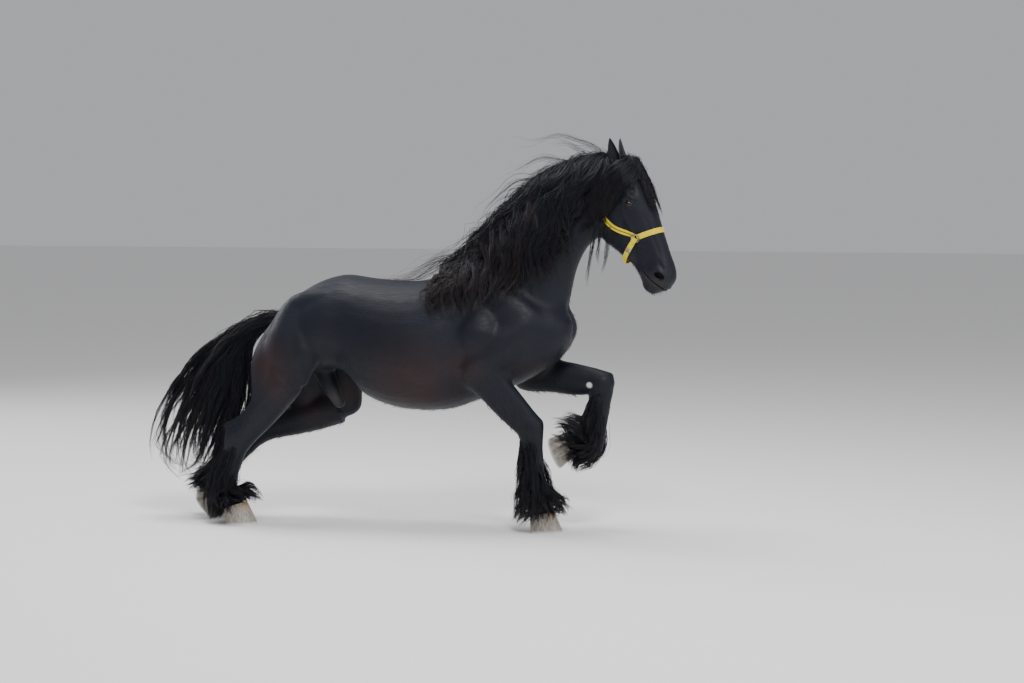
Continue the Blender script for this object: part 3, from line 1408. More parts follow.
def strandsFrom(guides, facing, count, width, depth, gather=0.35, frizz=0.004, waves=3.0, stray=0.05,
                shorter=0.25, liveliness=0.35):
    # many strands round each guide, drawn together towards its tip
    guides = np.asarray(guides)
    facing = np.broadcast_to(np.asarray(facing, dtype=float), (len(guides), 3))
    steps = guides.shape[1]
    pick = np.arange(count) % len(guides)
    t = np.linspace(0, 1, steps)
    reach = 1 - shorter * chance.random(count) ** 1.5
    place = np.clip(t[None, :] * reach[:, None] * (steps - 1), 0, steps - 1.001)
    low = place.astype(int)
    part = (place - low)[..., None]
    base = guides[pick[:, None], low] * (1 - part) + guides[pick[:, None], low + 1] * part
    ways = unit(np.gradient(base, axis=1))
    out = facing[pick][:, None, :] + np.zeros_like(base)
    out = unit(out - ways * np.sum(out * ways, axis=2, keepdims=True))
    wide = np.cross(ways, out)
    angle = chance.uniform(0, fullTurn, count)
    distance = np.sqrt(chance.random(count))
    loose = np.where(chance.random(count) < stray, chance.uniform(1.5, 2.6, count), 1.0)
    a = np.cos(angle) * distance * width / 2 * loose
    b = np.sin(angle) * distance * depth / 2 * loose
    narrow = 1 - (1 - gather * np.where(loose > 1, 2.2, 1.0)[:, None]) * t[None, :] ** 1.4
    guidePhase = chance.random(len(guides))[pick]
    guideFrizz = chance.uniform(0.6, 1.4, len(guides))[pick]
    phase = guidePhase + liveliness * chance.random(count)
    swing = frizz * (guideFrizz * loose)[:, None] * np.clip(t * 2.5, 0, 1)[None, :]
    gone = waves * t[None, :] * reach[:, None]
    acrossWave = swing * np.sin(fullTurn * (gone + phase[:, None]))
    outWave = swing * 0.6 * np.cos(fullTurn * (gone * 1.1 + phase[:, None] * 1.7))
    across = wide * (a[:, None] * narrow + acrossWave)[..., None]
    return base + across + out * (b[:, None] * narrow + outWave)[..., None], pick


def keepOff(paths, clearance, rootSteps=1, floor=0.004):
    # strands lie outside the skin, and none goes below the floor
    count, steps, _ = paths.shape
    for index in range(count):
        for step in range(rootSteps, steps):
            point = Vector(paths[index, step])
            near, normal, _, _ = skinTree.find_nearest(point, 0.05)
            if near is not None and (point - near).dot(normal) < clearance:
                paths[index, step] = near + normal * clearance
    paths[..., 2] = np.maximum(paths[..., 2], floor)
    return paths


def unwrapped(paths, start, end):
    # places of the roots on the skin unrolled round the line from start to end
    reach = np.subtract(end, start)
    length = np.linalg.norm(reach)
    along = reach / length
    aside = unit(np.array((0, 1, 0)) - along * along[1])
    offset = paths[:, 0] - np.asarray(start)
    turn = np.arctan2(offset @ aside, offset @ np.cross(along, aside)) / fullTurn + 0.5
    return np.stack([turn, offset @ along / length], axis=1)


def addStrands(name, paths, radius, tone, roots, nodes, slotName="hair", tipTone=0.25):
    count, steps, _ = paths.shape
    ways = unit(np.gradient(paths, axis=1))
    mean = unit(paths[:, -1] - paths[:, 0])
    aside = unit(np.cross(mean, chance.normal(size=(count, 3))))
    first = unit(np.cross(ways, aside[:, None, :] + np.zeros_like(ways)))
    second = np.cross(ways, first)
    t = np.linspace(0, 1, steps)
    size = (0.60 + 0.40 * np.minimum(1, t * 5)) * (1 - t**2.4)
    thick = np.broadcast_to(np.asarray(radius, dtype=float), (count,))[:, None] * size[None, :]
    corners = fullTurn * np.arange(3) / 3
    around = first[:, :, None, :] * np.cos(corners)[None, None, :, None]
    around = around + second[:, :, None, :] * (np.sin(corners) * strand["flatness"])[None, None, :, None]
    rings = paths[:, :-1, None, :] + around[:, :-1] * thick[:, :-1, None, None]
    verts = np.concatenate([rings.reshape(count, -1, 3), paths[:, -1:, :]], axis=1)
    perStrand = 3 * (steps - 1) + 1
    tip = perStrand - 1
    loops, starts, totals, cornerU, cornerV = [0, 2, 1], [0], [3], [0, 2 / 3, 1 / 3], [0, 0, 0]
    for row in range(steps - 2):
        for k in range(3):
            n = (k + 1) % 3
            starts.append(len(loops))
            totals.append(4)
            loops += [3 * row + k, 3 * row + n, 3 * row + 3 + n, 3 * row + 3 + k]
            cornerU += [k / 3, (k + 1) / 3, (k + 1) / 3, k / 3]
            cornerV += [t[row], t[row], t[row + 1], t[row + 1]]
    for k in range(3):
        starts.append(len(loops))
        totals.append(3)
        loops += [3 * (steps - 2) + k, 3 * (steps - 2) + (k + 1) % 3, tip]
        cornerU += [k / 3, (k + 1) / 3, (k + 0.5) / 3]
        cornerV += [t[-2], t[-2], 1.0]
    each = np.arange(count)
    allLoops = (np.array(loops)[None, :] + each[:, None] * perStrand).ravel()
    allStarts = (np.array(starts)[None, :] + each[:, None] * len(loops)).ravel()
    allTotals = np.tile(np.array(totals), count)
    mesh = bpy.data.meshes.new(name)
    mesh.vertices.add(count * perStrand)
    mesh.vertices.foreach_set("co", verts.astype(np.float32).ravel())
    mesh.loops.add(len(allLoops))
    mesh.loops.foreach_set("vertex_index", allLoops.astype(np.int32))
    mesh.polygons.add(len(allStarts))
    mesh.polygons.foreach_set("loop_start", allStarts.astype(np.int32))
    mesh.polygons.foreach_set("loop_total", allTotals.astype(np.int32))
    mesh.update(calc_edges=True)
    roots = np.clip(np.asarray(roots, dtype=float), 0, 1) * (1 - 2 * strand["patch"]) + strand["patch"]
    patchU = roots[:, 0][:, None] + strand["patch"] * (np.array(cornerU)[None, :] - 0.5)
    patchV = roots[:, 1][:, None] + strand["patch"] * (np.array(cornerV)[None, :] - 0.5)
    unwrap = mesh.uv_layers.new(name="OFBake")
    unwrap.data.foreach_set("uv", np.stack([patchU, patchV], axis=2).astype(np.float32).ravel())
    tone = np.broadcast_to(np.asarray(tone, dtype=float), (count,))
    ringT = np.concatenate([np.repeat(t[:-1], 3), [1.0]])
    tones = np.clip(tone[:, None] + tipTone * ringT[None, :] ** 2, 0, 1)
    addCoordinates(mesh, tone=tones.ravel())
    mesh.validate()
    belongs(addObject(name, mesh, hair), slotName, *nodes)
    print(name, count, "strands", count * ((steps - 2) * 6 + 4), "triangles")


def between(rows, share):
    shares = [row[0] for row in rows]
    return [float(np.interp(share, shares, [row[k] for row in rows])) for k in range(1, len(rows[0]))]


# mane

mane = {
    "rightTips": (
        (0.00, 0.190, 1.150), (0.15, 0.250, 1.075), (0.35, 0.340, 1.060), (0.55, 0.465, 1.090),
        (0.72, 0.600, 1.120), (0.86, 0.730, 1.165), (0.95, 0.830, 1.205), (1.00, 0.930, 1.310),
    ),
    "leftTips": ((0.00, 0.230, 1.235), (0.50, 0.520, 1.360), (1.00, 0.930, 1.520)),
    # name, side, guides, strands, clump width, lift, distance off the neck, how much shorter, length factor
    "layers": (
        ("mane_under", -1, 78, 1900, 0.052, 0.012, 0.012, 0.45, 0.95),
        ("mane_middle", -1, 70, 1900, 0.046, 0.022, 0.028, 0.30, 1.00),
        ("mane_top", -1, 58, 1900, 0.038, 0.032, 0.046, 0.28, 1.03),
        ("mane_left", 1, 56, 1150, 0.054, 0.024, 0.018, 0.45, 1.00),
    ),
    "places": (0.12, 0.21, 0.30, 0.39, 0.48, 0.57, 0.66, 0.75, 0.84, 0.92, 1.0),
    "steps": 16,
    "radius": (0.0012, 0.0025),
    "swing": (0.018, 0.040),
    "crimp": (0.016, 0.031),
}


def neckRow(share):  # the crest and the way up to it
    crestX, crestZ, underX, underZ, y, _ = rowAt(smoothRows(neck["stations"], 8), share)
    crest = Vector((crestX, y, crestZ))
    return crest, (crest - Vector((underX, y, underZ))).normalized()


def besideNeck(x, z, side):
    hit, _, _, _ = skinTree.ray_cast(Vector((x, side * 0.8, z)), Vector((0, -side, 0)))
    return None if hit is None else hit.y


def maneGuide(side, share, lift, layer, longer, steps):
    crest, tall = neckRow(0.03 + 0.95 * share)
    out = left * side
    tips = mane["rightTips"] if side < 0 else mane["leftTips"]
    tipX, tipZ = between(tips, share)
    tip = Vector((tipX, 0, tipZ))
    root = Vector((crest.x, 0, crest.z))
    tip = root + (tip - root) * (longer * chance.uniform(0.88, 1.06))
    tip += Vector((chance.uniform(-0.035, 0.025), 0, chance.uniform(-0.030, 0.030)))
    sideways = chance.uniform(-1, 1) * 0.010
    top = crest + left * sideways
    over = top + tall * lift * (0.6 + 0.4 * share) + out * 0.012 + Vector((-0.020, 0, -0.004))
    points = [top + out * 0.006 - tall * 0.012, over]
    way = (tip - root).normalized()
    across = Vector((way.z, 0, -way.x))
    swing = chance.uniform(*mane["swing"]) * (0.7 + 0.6 * share)
    crimp = chance.uniform(*mane["crimp"])
    phase = fullTurn * (0.10 + 1.25 * share) + chance.uniform(-1.3, 1.3)
    beside = crest.y + side * 0.03
    bow = Vector((-0.055, 0, 0.050)) * (0.7 + 0.7 * share) * (1 if side < 0 else 0.6)
    for step in mane["places"]:
        place = root.lerp(tip, step) + bow * math.sin(math.pi * step)
        place += across * swing * math.sin(phase + 7.0 * step) * min(1, 2 * step)
        place += across * crimp * math.sin(phase * 2.3 + 19.0 * step) * min(1, 3 * step)
        found = besideNeck(place.x, place.z, side)
        if found is not None:
            loft = 0.012 * math.sin(math.pi * step) + 0.008 * math.sin(phase + 14.0 * step)
            beside = found + side * (layer + loft)
        points.append(Vector((place.x, beside, place.z)))
    return guideThrough(points, steps)


def makeMane():
    for name, side, guideCount, count, width, lift, layer, shorter, longer in mane["layers"]:
        shares = [(k + chance.uniform(0.1, 0.9)) / guideCount for k in range(guideCount)]
        guides = [maneGuide(side, share, lift, layer, longer, mane["steps"]) for share in shares]
        paths, pick = strandsFrom(guides, (0, side, 0), count, width, 0.022, gather=0.22, frizz=0.0072,
                                  waves=3.6, stray=0.10, shorter=shorter)
        paths = keepOff(paths, 0.004)
        share = np.array(shares)[pick]
        brown = chance.random(guideCount)[pick] * 0.5 + chance.random(count) * 0.22
        lower = np.clip(1 - share, 0, 1) ** 2 * 0.22
        roots = np.stack([share, 0.5 + (paths[:, 0, 1] - paths[:, 0, 1].mean()) * 12], axis=1)
        radius = chance.uniform(*mane["radius"], count)
        addStrands(name, paths, radius, np.clip(brown * 0.4 + lower, 0, 1), roots, ["neck"])


# flyaways over the crest and long strands blown back

flyaways = {
    "count": 480,
    "steps": 12,
    "long": (  # share of the neck, then places that the strands pass
        (0.97, (0.960, 1.870), (0.820, 1.905), (0.640, 1.890), (0.560, 1.900)),
        (0.93, (0.900, 1.850), (0.790, 1.875), (0.690, 1.880)),
        (0.80, (0.740, 1.800), (0.620, 1.760), (0.500, 1.690)),
        (0.62, (0.560, 1.680), (0.450, 1.560), (0.370, 1.480)),
        (0.30, (0.330, 1.420), (0.200, 1.330), (0.040, 1.290)),
        (0.12, (0.220, 1.320), (0.050, 1.245), (-0.100, 1.200), (-0.220, 1.160)),
        (0.06, (0.200, 1.300), (0.040, 1.215), (-0.070, 1.150), (-0.160, 1.080)),
        (0.04, (0.180, 1.280), (0.060, 1.190), (-0.020, 1.110), (-0.100, 1.030)),
    ),
}


def makeFlyaways():
    guides = []
    for share, *places in flyaways["long"]:
        crest, tall = neckRow(share)
        y = crest.y - 0.015
        points = [crest - tall * 0.010]
        for x, z in places:
            points.append(Vector((x, y, z)))
            y -= 0.012
        guides.append(guideThrough(points, flyaways["steps"]))
    long, _ = strandsFrom(guides, (0, -1, 0), 150, 0.030, 0.022, gather=0.7, frizz=0.006, waves=2.2,
                                 stray=0.3, shorter=0.5)
    short = []
    for _ in range(flyaways["count"]):
        share = chance.uniform(0.02, 0.99)
        crest, tall = neckRow(share)
        length = chance.uniform(0.05, 0.15)
        aside = chance.uniform(-0.018, 0.018)
        root = crest - tall * 0.008 + left * aside
        way = (tall * chance.uniform(0.15, 0.50) + Vector((-1, 0, chance.uniform(-0.25, 0.25)))
               + left * (chance.uniform(-0.5, 0.3))).normalized()
        bend = Vector((-0.2, chance.uniform(-0.6, 0.1), -0.5)) * length * chance.uniform(0.2, 0.8)
        middle, end = root + way * length * 0.4 + tall * 0.012, root + way * length * 0.75 + bend * 0.5
        short.append(guideThrough([root, middle, end, root + way * length + bend], flyaways["steps"]))
    paths = np.concatenate([keepOff(long, 0.006), np.array(short)])
    roots = unwrapped(paths, (0.10, -0.02, 1.00), (1.08, -0.02, 1.72))
    radius = chance.uniform(0.0005, 0.0009, len(paths))
    addStrands("mane_flyaways", paths, radius, chance.uniform(0.0, 0.5, len(paths)), roots, ["neck"])


makeMane()
makeFlyaways()

# forelock, swept down the face and back over the brow and cheek

forelock = {
    # root sideways, places along the face, out of it and sideways, distance off the skin, strands
    "locks": (
        (-0.004, ((0.050, 0.020, -0.006), (0.120, 0.020, -0.018), (0.190, 0.014, -0.010),
                  (0.255, 0.012, -0.022), (0.310, 0.010, -0.014)), 0.010, 170),
        (-0.012, ((0.050, 0.010, -0.024), (0.110, 0.012, -0.044), (0.170, 0.006, -0.036),
                  (0.230, 0.006, -0.052), (0.275, 0.004, -0.046)), 0.010, 150),
        (0.010, ((0.050, 0.020, 0.012), (0.120, 0.018, 0.028), (0.190, 0.012, 0.022),
                 (0.250, 0.010, 0.038), (0.290, 0.008, 0.030)), 0.010, 150),
        (0.024, ((0.045, 0.000, 0.036), (0.100, -0.010, 0.056), (0.150, -0.020, 0.062),
                 (0.205, -0.030, 0.072)), 0.009, 110),
        (-0.020, ((0.045, 0.004, -0.042), (0.092, -0.036, -0.078), (0.118, -0.090, -0.098),
                  (0.160, -0.150, -0.106), (0.186, -0.196, -0.106), (0.222, -0.240, -0.106)), 0.012, 210),
        (-0.026, ((0.030, 0.000, -0.044), (0.078, -0.056, -0.084), (0.112, -0.116, -0.100),
                  (0.166, -0.166, -0.106), (0.196, -0.222, -0.108), (0.232, -0.276, -0.112),
                  (0.228, -0.336, -0.118), (0.256, -0.390, -0.124)), 0.014, 230),
        (-0.028, ((0.015, -0.010, -0.044), (0.046, -0.072, -0.086), (0.092, -0.130, -0.102),
                  (0.124, -0.188, -0.108), (0.168, -0.240, -0.110), (0.178, -0.304, -0.116),
                  (0.206, -0.360, -0.122)), 0.018, 230),
        (-0.030, ((0.000, -0.020, -0.046), (0.032, -0.080, -0.086), (0.054, -0.146, -0.104),
                  (0.096, -0.204, -0.110), (0.108, -0.268, -0.116), (0.140, -0.326, -0.122),
                  (0.136, -0.392, -0.128)), 0.020, 220),
        (-0.030, ((-0.010, -0.030, -0.046), (0.008, -0.092, -0.084), (0.034, -0.154, -0.102),
                  (0.044, -0.218, -0.110), (0.072, -0.280, -0.116), (0.070, -0.346, -0.122)), 0.022, 150),
        (0.030, ((0.020, -0.010, 0.046), (0.050, -0.040, 0.080), (0.062, -0.100, 0.098),
                 (0.052, -0.160, 0.104), (0.062, -0.220, 0.106)), 0.012, 110),
        (0.030, ((0.000, -0.030, 0.046), (0.020, -0.070, 0.082), (0.024, -0.130, 0.098),
                 (0.012, -0.190, 0.102), (0.022, -0.250, 0.104)), 0.014, 100),
    ),
    "root": (0.000, -0.075),
    "spread": 3,
    "steps": 11,
    "veil": (  # locks from behind the ears over the halter's crown
        (1.040, -0.030, 1.838), (1.052, -0.100, 1.790), (1.056, -0.150, 1.700), (1.046, -0.170, 1.600),
        (1.030, -0.175, 1.500), (1.000, -0.175, 1.400),
    ),
    "veilShifts": (0.010, -0.012, -0.034, -0.056),
    "hanging": (  # thin strands that hang free behind the jaw
        ((1.015, -0.155, 1.520), (1.000, -0.175, 1.400), (0.978, -0.172, 1.290), (0.966, -0.166, 1.185)),
        ((1.040, -0.160, 1.500), (1.026, -0.172, 1.390), (1.020, -0.168, 1.290)),
        ((1.075, -0.165, 1.480), (1.068, -0.172, 1.370), (1.044, -0.166, 1.250)),
    ),
}


def makeForelock():
    parts = []
    rootAlong, rootOut = forelock["root"]
    for rootSide, places, layer, count in forelock["locks"]:
        guides, facings = [], []
        for number in range(forelock["spread"]):
            nudge = (number - 1) * 0.013
            points = [headPoint(rootAlong + nudge * 0.6, rootOut - 0.012, rootSide)]
            points.append(headPoint(rootAlong - 0.004 + nudge * 0.5, rootOut + 0.044, rootSide * 1.2))
            for a, o, s in places:
                a += nudge + chance.uniform(-0.006, 0.006)
                near, normal = skinNear(headPoint(a, o, s + nudge * 0.4))
                points.append(near + normal * (layer + 0.003 * number))
            guides.append(guideThrough(points, forelock["steps"]))
            middle = headPoint(0.12, -0.14)
            facings.append(tuple((Vector(guides[-1][6]) - middle).normalized()))
        paths, _ = strandsFrom(guides, facings, count, 0.030, 0.014, gather=0.40, frizz=0.0050, waves=3.0,
                               stray=0.08, shorter=0.30)
        parts.append(paths)
    veil = []
    for shift in forelock["veilShifts"]:
        points = [Vector(forelock["veil"][0]) + Vector((shift, 0, -0.012))]
        for x, y, z in forelock["veil"]:
            near, normal = skinNear(Vector((x + shift + chance.uniform(-0.010, 0.010), y, z)))
            points.append(near + normal * 0.024)
        veil.append(guideThrough(points, forelock["steps"]))
    parts.append(strandsFrom(veil, (0, -1, 0), 260, 0.040, 0.014, gather=0.45, frizz=0.006, waves=3.4,
                             stray=0.08)[0])
    hanging = [guideThrough(points, forelock["steps"]) for points in forelock["hanging"]]
    parts.append(strandsFrom(hanging, (0, -1, 0), 60, 0.022, 0.012, gather=0.6, frizz=0.003, waves=2.0,
                             liveliness=1.0)[0])
    paths = keepOff(np.concatenate(parts), 0.0035)
    roots = unwrapped(paths, headPoint(-0.10, -0.10), headPoint(0.66, -0.10))
    radius = chance.uniform(0.0008, 0.0014, len(paths))
    addStrands("forelock", paths, radius, chance.uniform(0.0, 0.35, len(paths)), roots, ["head"])


makeForelock()

# tail

tail = {
    "rows": (  # the middle of its hair as x, z, half width and half height
        (-0.600, 1.010, 0.032, 0.030), (-0.700, 1.012, 0.050, 0.045), (-0.850, 0.912, 0.085, 0.090),
        (-0.935, 0.775, 0.110, 0.165), (-1.015, 0.605, 0.128, 0.212), (-1.095, 0.415, 0.128, 0.235),
        (-1.140, 0.235, 0.116, 0.220),
    ),
    "guides": 120,
    "pieces": 2,
    "strands": 1950,
    "stray": (  # thin strands blown in between the hind legs
        ((-0.960, -0.020, 0.640), (-0.900, -0.010, 0.490), (-0.850, 0.010, 0.410), (-0.800, 0.000, 0.345),
         (-0.730, 0.010, 0.370)),
        ((-0.980, 0.010, 0.600), (-0.920, 0.000, 0.440), (-0.860, -0.010, 0.350), (-0.810, 0.010, 0.360),
         (-0.770, 0.020, 0.300)),
        ((-1.000, -0.010, 0.560), (-0.950, -0.010, 0.400), (-0.900, 0.020, 0.300), (-0.850, 0.010, 0.310),
         (-0.830, 0.000, 0.250)),
    ),
    "steps": 13,
    "places": 12,
    "radius": (0.0011, 0.0021),
    "lengths": (1.06, 0.97, 0.86, 1.02, 0.74),
    "curl": (0.028, 0.075),
    "curlFrom": 0.62,
    "dock": 0.30,
    "dockRings": 16,
    "dockSegments": 18,
    "strayCount": 70,
}
tailRows = smoothRows(tail["rows"], 6)


def tailPlace(share, turn, spread):
    x, z, halfWidth, halfHeight = rowAt(tailRows, min(share, 1))
    ahead, behind = rowAt(tailRows, min(share + 0.02, 1)), rowAt(tailRows, max(share - 0.02, 0))
    along = Vector((ahead[0] - behind[0], 0, ahead[1] - behind[1])).normalized()
    tall = left.cross(along)
    middle = Vector((x, 0, z)) + along * max(share - 1, 0) * 1.1
    return middle + (left * math.cos(turn) * halfWidth + tall * math.sin(turn) * halfHeight) * spread


def makeTail():
    form = bmesh.new()
    rings = []
    for down in evenShares(tail["dockRings"]):
        slim = (0.80 - 0.30 * down) * math.sqrt(max(1 - down**6, 0.02)) * 0.8
        made = bmesh.ops.create_circle(form, cap_ends=False, radius=1, segments=tail["dockSegments"])["verts"]
        for vert in made:
            vert.co = tailPlace(tail["dock"] * down, math.atan2(vert.co.y, vert.co.x), slim)
        rings.append(list({edge for vert in made for edge in vert.link_edges}))
    bridgeRings(form, rings)
    belongs(fromBmesh("tail_dock", form, hair), "hair", "tail")
    for piece in range(tail["pieces"]):
        guides, facings, starts = [], [], []
        for _ in range(tail["guides"] // tail["pieces"]):
            turn = fullTurn * chance.random()
            spread = math.sqrt(chance.uniform(0.03, 1.0))
            start = chance.uniform(0.0, 0.26) if spread > 0.35 else chance.uniform(0.08, 0.30)
            end = chance.choice(tail["lengths"]) + chance.uniform(-0.05, 0.04)
            phase = fullTurn * chance.random()
            curl = chance.uniform(*tail["curl"])
            points = []
            for share in evenShares(tail["places"]):
                reach = spread * min(1.0, 0.30 + 1.45 * share) * 0.96
                wave = 0.20 * share * math.sin(phase + share * 7)
                place = tailPlace(start + (end - start) * share, turn + wave, reach)
                turning = phase + 9 * share
                coil = Vector((math.cos(turning), 0.5 * math.sin(phase * 2 + 8 * share), math.sin(turning)))
                twist = max(0.0, share - tail["curlFrom"]) / (1 - tail["curlFrom"])
                points.append(place + coil * curl * twist)
            guides.append(guideThrough(points, tail["steps"]))
            facings.append(tuple((Vector(guides[-1][6]) - tailPlace(0.4, 0, 0)).normalized()))
            starts.append((turn / fullTurn, start / 0.32))
        paths, pick = strandsFrom(guides, facings, tail["strands"], 0.046, 0.030, gather=0.16, frizz=0.0066,
                                  waves=4.2, stray=0.08, shorter=0.22)
        paths = keepOff(paths, 0.004, rootSteps=2, floor=0.03)
        starts = np.array(starts)[pick]
        roots = starts + chance.uniform(-0.02, 0.02, (len(pick), 2))
        brown = chance.random(len(guides))[pick] * 0.25 + chance.random(len(pick)) * 0.15
        radius = chance.uniform(*tail["radius"], len(paths))
        addStrands(f"tail_hair_{piece + 1}", paths, radius, brown, roots, ["tail"], tipTone=0.15)
    guides = [guideThrough(points, tail["steps"]) for points in tail["stray"]]
    paths, _ = strandsFrom(guides, (0, -1, 0), tail["strayCount"], 0.050, 0.030, gather=0.5, frizz=0.008,
                           waves=3.0, liveliness=1.0)
    paths = keepOff(paths, 0.004)
    addStrands("tail_strays", paths, chance.uniform(0.0008, 0.0014, len(paths)), 0.05,
               unwrapped(paths, (-0.58, 0, 1.01), (-1.14, 0, 0.23)), ["tail"])


makeTail()

# feathers on the lower legs

feather = {
    # roots down the limb (0 middle joint, 1 fetlock, 2 coronet), how far down the tips are, reach in front
    # and behind, spread round the back, guides, strands
    "tiers": (
        ((0.02, 0.58), (0.80, 1.45), 0.056, 0.095, 220, 34, 600),
        ((0.45, 1.05), (1.40, 2.05), 0.090, 0.122, 300, 46, 900),
        ((0.85, 1.50), (1.95, 2.45), 0.140, 0.145, 360, 54, 950),
        ((1.40, 1.95), (2.25, 2.55), 0.122, 0.125, 360, 34, 450),
    ),
    "skin": 0.038,  # the leg's own half width under the hair
    "places": 8,
    "steps": 7,
    "radius": (0.0010, 0.0018),
    "floor": 0.022,
}


def limbFrame(name, far):
    points = [Vector(point) for point in list(limbs[name].values())[-4:]]
    last = len(points) - 2
    low = max(0, min(int(far), last))
    ways = [(after - before).normalized() for before, after in zip(points, points[1:])]
    blend = far - low - 0.5
    other = max(0, min(low + (1 if blend > 0 else -1), last))
    along = ways[low].lerp(ways[other], min(abs(blend), 0.5)).normalized()
    flat = squared(left, along)
    return points[low].lerp(points[low + 1], far - low), flat, along.cross(flat)


def makeFeather(name):
    parts, rootPlaces = [], []
    for starts, ends, front, behind, spread, guideCount, count in feather["tiers"]:
        guides, facings, places = [], [], []
        for number in range(guideCount):
            turn = math.pi + math.radians(spread) * ((number + chance.uniform(0.1, 0.9)) / guideCount - 0.5)
            start = chance.uniform(*starts)
            end = chance.uniform(*ends) - 0.12 * max(math.cos(turn), 0)
            reach = (front + behind) / 2 + (front - behind) / 2 * math.cos(turn)
            reach *= chance.uniform(0.80, 1.06)
            phase = fullTurn * chance.random()
            flick = chance.uniform(-0.010, 0.030)
            points = []
            for share in evenShares(feather["places"]):
                middle, flat, tall = limbFrame(name, start + (end - start) * share)
                lean = turn + 0.16 * share * math.sin(phase + 5 * share)
                away = flat * math.sin(lean) + tall * math.cos(lean)
                base = feather["skin"] if share else feather["skin"] * 0.7
                aside = base + (reach - base) * math.sin(min(1.0, 1.25 * share) * math.pi / 2)
                place = middle + away * (aside + flick * max(0, share - 0.7) / 0.3)
                place.z = max(place.z, feather["floor"])
                points.append(place)
            guides.append(guideThrough(points, feather["steps"]))
            facings.append(tuple(flat * math.sin(turn) + tall * math.cos(turn)))
            places.append((turn / fullTurn, start / 2))
        paths, pick = strandsFrom(guides, facings, count, 0.030, 0.018, gather=0.30, frizz=0.0036, waves=2.0,
                                  stray=0.14, shorter=0.28)
        parts.append(paths)
        rootPlaces.append(np.array(places)[pick] + chance.uniform(-0.012, 0.012, (count, 2)))
    paths = keepOff(np.concatenate(parts), 0.003, floor=0.006)
    brown = chance.uniform(0.0, 0.30, len(paths))
    addStrands(name + "_feather", paths, chance.uniform(*feather["radius"], len(paths)), brown,
               np.concatenate(rootPlaces), [name + "_cannon"], slotName="coat")


for name in limbs:
    makeFeather(name)
print("long hair made")

# a short fringe where the coat breaks its outline, and whiskers

fringe = {
    "steps": 6,
    "rows": {  # path, reach, strands, length, the way it lies
        "belly": (((-0.22, 0, 0.66), (0.00, 0, 0.58), (0.25, 0, 0.57), (0.48, 0, 0.64)),
                  0.09, 420, 0.034, (-1.0, 0, -0.35)),
        "chest": (((0.86, 0, 1.12), (0.87, 0, 1.00), (0.82, 0, 0.88), (0.70, 0, 0.76)),
                  0.09, 260, 0.030, (-0.3, 0, -1.0)),
        "near_forearm": (((0.47, -0.17, 0.70), (0.58, -0.15, 0.55), (0.63, -0.13, 0.46)),
                         0.08, 300, 0.034, (0.1, 0, -1.0)),
        "far_forearm": (((0.62, 0.15, 0.66), (0.80, 0.14, 0.66), (0.90, 0.14, 0.62)),
                        0.08, 260, 0.034, (0.6, 0, -0.8)),
        "near_gaskin": (((-0.72, -0.17, 0.62), (-0.84, -0.16, 0.50), (-0.90, -0.15, 0.42)),
                        0.08, 300, 0.034, (-0.5, 0, -0.9)),
        "far_gaskin": (((-0.42, 0.18, 0.42), (-0.60, 0.16, 0.40), (-0.78, 0.15, 0.38)),
                       0.08, 300, 0.034, (-0.9, 0, -0.5)),
        "thigh": (((-0.60, -0.20, 0.60), (-0.48, -0.22, 0.70), (-0.40, -0.22, 0.77)),
                  0.06, 180, 0.028, (-0.2, 0, -1.0)),
        "jaw": (((1.05, -0.09, 1.42), (1.13, -0.07, 1.31), (1.19, -0.06, 1.25)),
                0.06, 240, 0.026, (0.2, 0, -1.0)),
        "chin": (((1.24, -0.08, 1.20), (1.27, -0.08, 1.17), (1.31, -0.08, 1.18)),
                 0.05, 80, 0.022, (0.2, 0, -1.0)),
    },
}


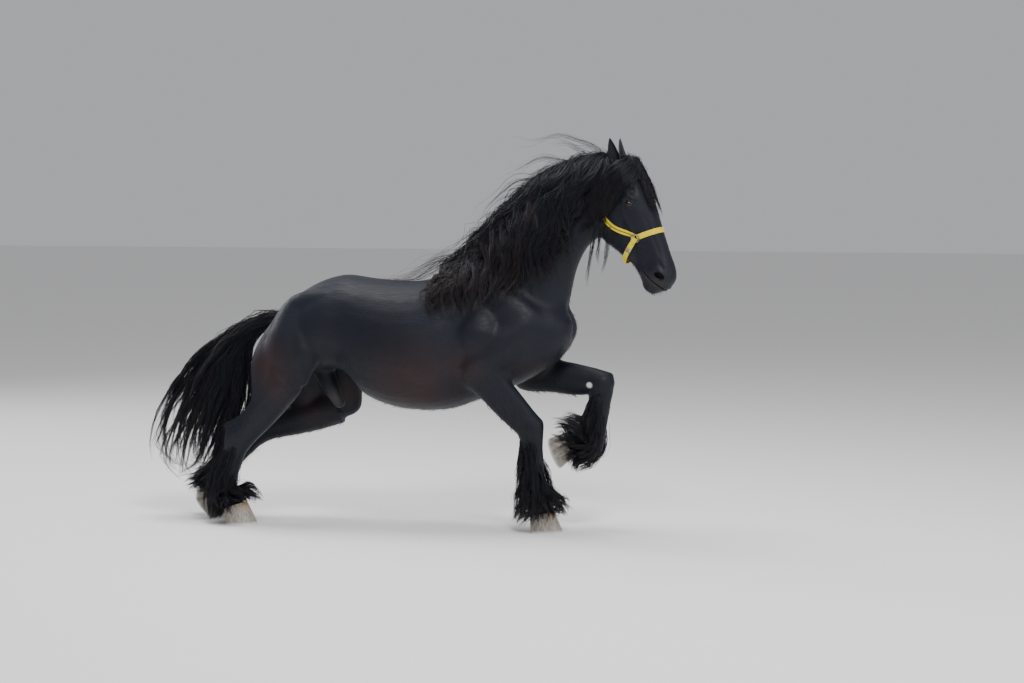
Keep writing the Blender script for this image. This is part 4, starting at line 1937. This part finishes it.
def makeFringe():
    guides = []
    for path, reach, count, length, lie in fringe["rows"].values():
        places = resample(smoothRows([tuple(point) for point in path], 6), 40)
        for _ in range(count):
            around = Vector(chance.normal(size=3)).normalized() * reach
            near, normal = skinNear(Vector(places[chance.integers(40)]) + around)
            way = Vector(lie).normalized()
            way = (way - normal * way.dot(normal) + normal * chance.uniform(0.15, 0.55)).normalized()
            long = length * chance.uniform(0.5, 1.1)
            bend = -normal * long * 0.15 + left * long * chance.uniform(-0.15, 0.15)
            points = [near - normal * 0.002, near + way * long * 0.5, near + way * long + bend]
            guides.append(resample([tuple(point) for point in points], fringe["steps"]))
    paths = np.array(guides)
    count = len(paths)
    addStrands("coat_fringe", paths, chance.uniform(0.0004, 0.0008, count), chance.uniform(0, 0.3, count),
               unwrapped(paths, (-1.10, 0, 0.90), (1.40, 0, 0.90)), flesh, slotName="coat")


makeFringe()


# floor, light and view

stage = {"size": 90.0, "colour": (0.86, 0.855, 0.845), "sky": (0.86, 0.87, 0.90), "skyStrength": 0.52}

lights = {
    # place, size, power
    "key": ((3.2, -6.0, 7.0), 2.2, 600),
    "top": ((-0.8, 0.2, 6.0), 2.8, 260),
    "back": ((-6.5, 3.5, 4.2), 3.0, 200),
    "front": ((7.0, -1.5, 3.0), 2.4, 100),
}

view = {"azimuth": 16.0, "pitch": 3.72, "place": (3.958, -11.8736, 1.7214), "lens": 90.0, "film": 36.0}


def makeFloor():
    form = bmesh.new()
    bmesh.ops.create_grid(form, x_segments=8, y_segments=8, size=stage["size"] / 2)
    material, shader = newMaterial("paleFloor", Roughness=0.85, Specular_IOR_Level=0.2)
    shader.inputs["Base Color"].default_value = (*stage["colour"], 1)
    fromBmesh("floor", form, material, smooth=False)
    world = bpy.context.scene.world or bpy.data.worlds.new("sky")
    bpy.context.scene.world = world
    world.use_nodes = True
    sky = world.node_tree.nodes["Background"]
    sky.inputs["Color"].default_value = (*stage["sky"], 1)
    sky.inputs["Strength"].default_value = stage["skyStrength"]


def makeLights():
    for name, (place, size, power) in lights.items():
        data = bpy.data.lights.new(name, "AREA")
        data.size = size
        data.energy = power
        lamp = bpy.data.objects.new(name, data)
        lamp.location = place
        lamp.rotation_euler = (Vector((0, 0, 0.9)) - Vector(place)).to_track_quat("-Z", "Y").to_euler()
        bpy.context.scene.collection.objects.link(lamp)


def makeCamera():
    data = bpy.data.cameras.new("camera")
    data.lens = view["lens"]
    data.sensor_width = view["film"]
    camera = bpy.data.objects.new("camera", data)
    camera.location = view["place"]
    camera.rotation_euler = (math.radians(90 - view["pitch"]), 0, math.radians(view["azimuth"]))
    bpy.context.scene.collection.objects.link(camera)
    bpy.context.scene.camera = camera


makeFloor()
makeLights()
makeCamera()

print("stage set")
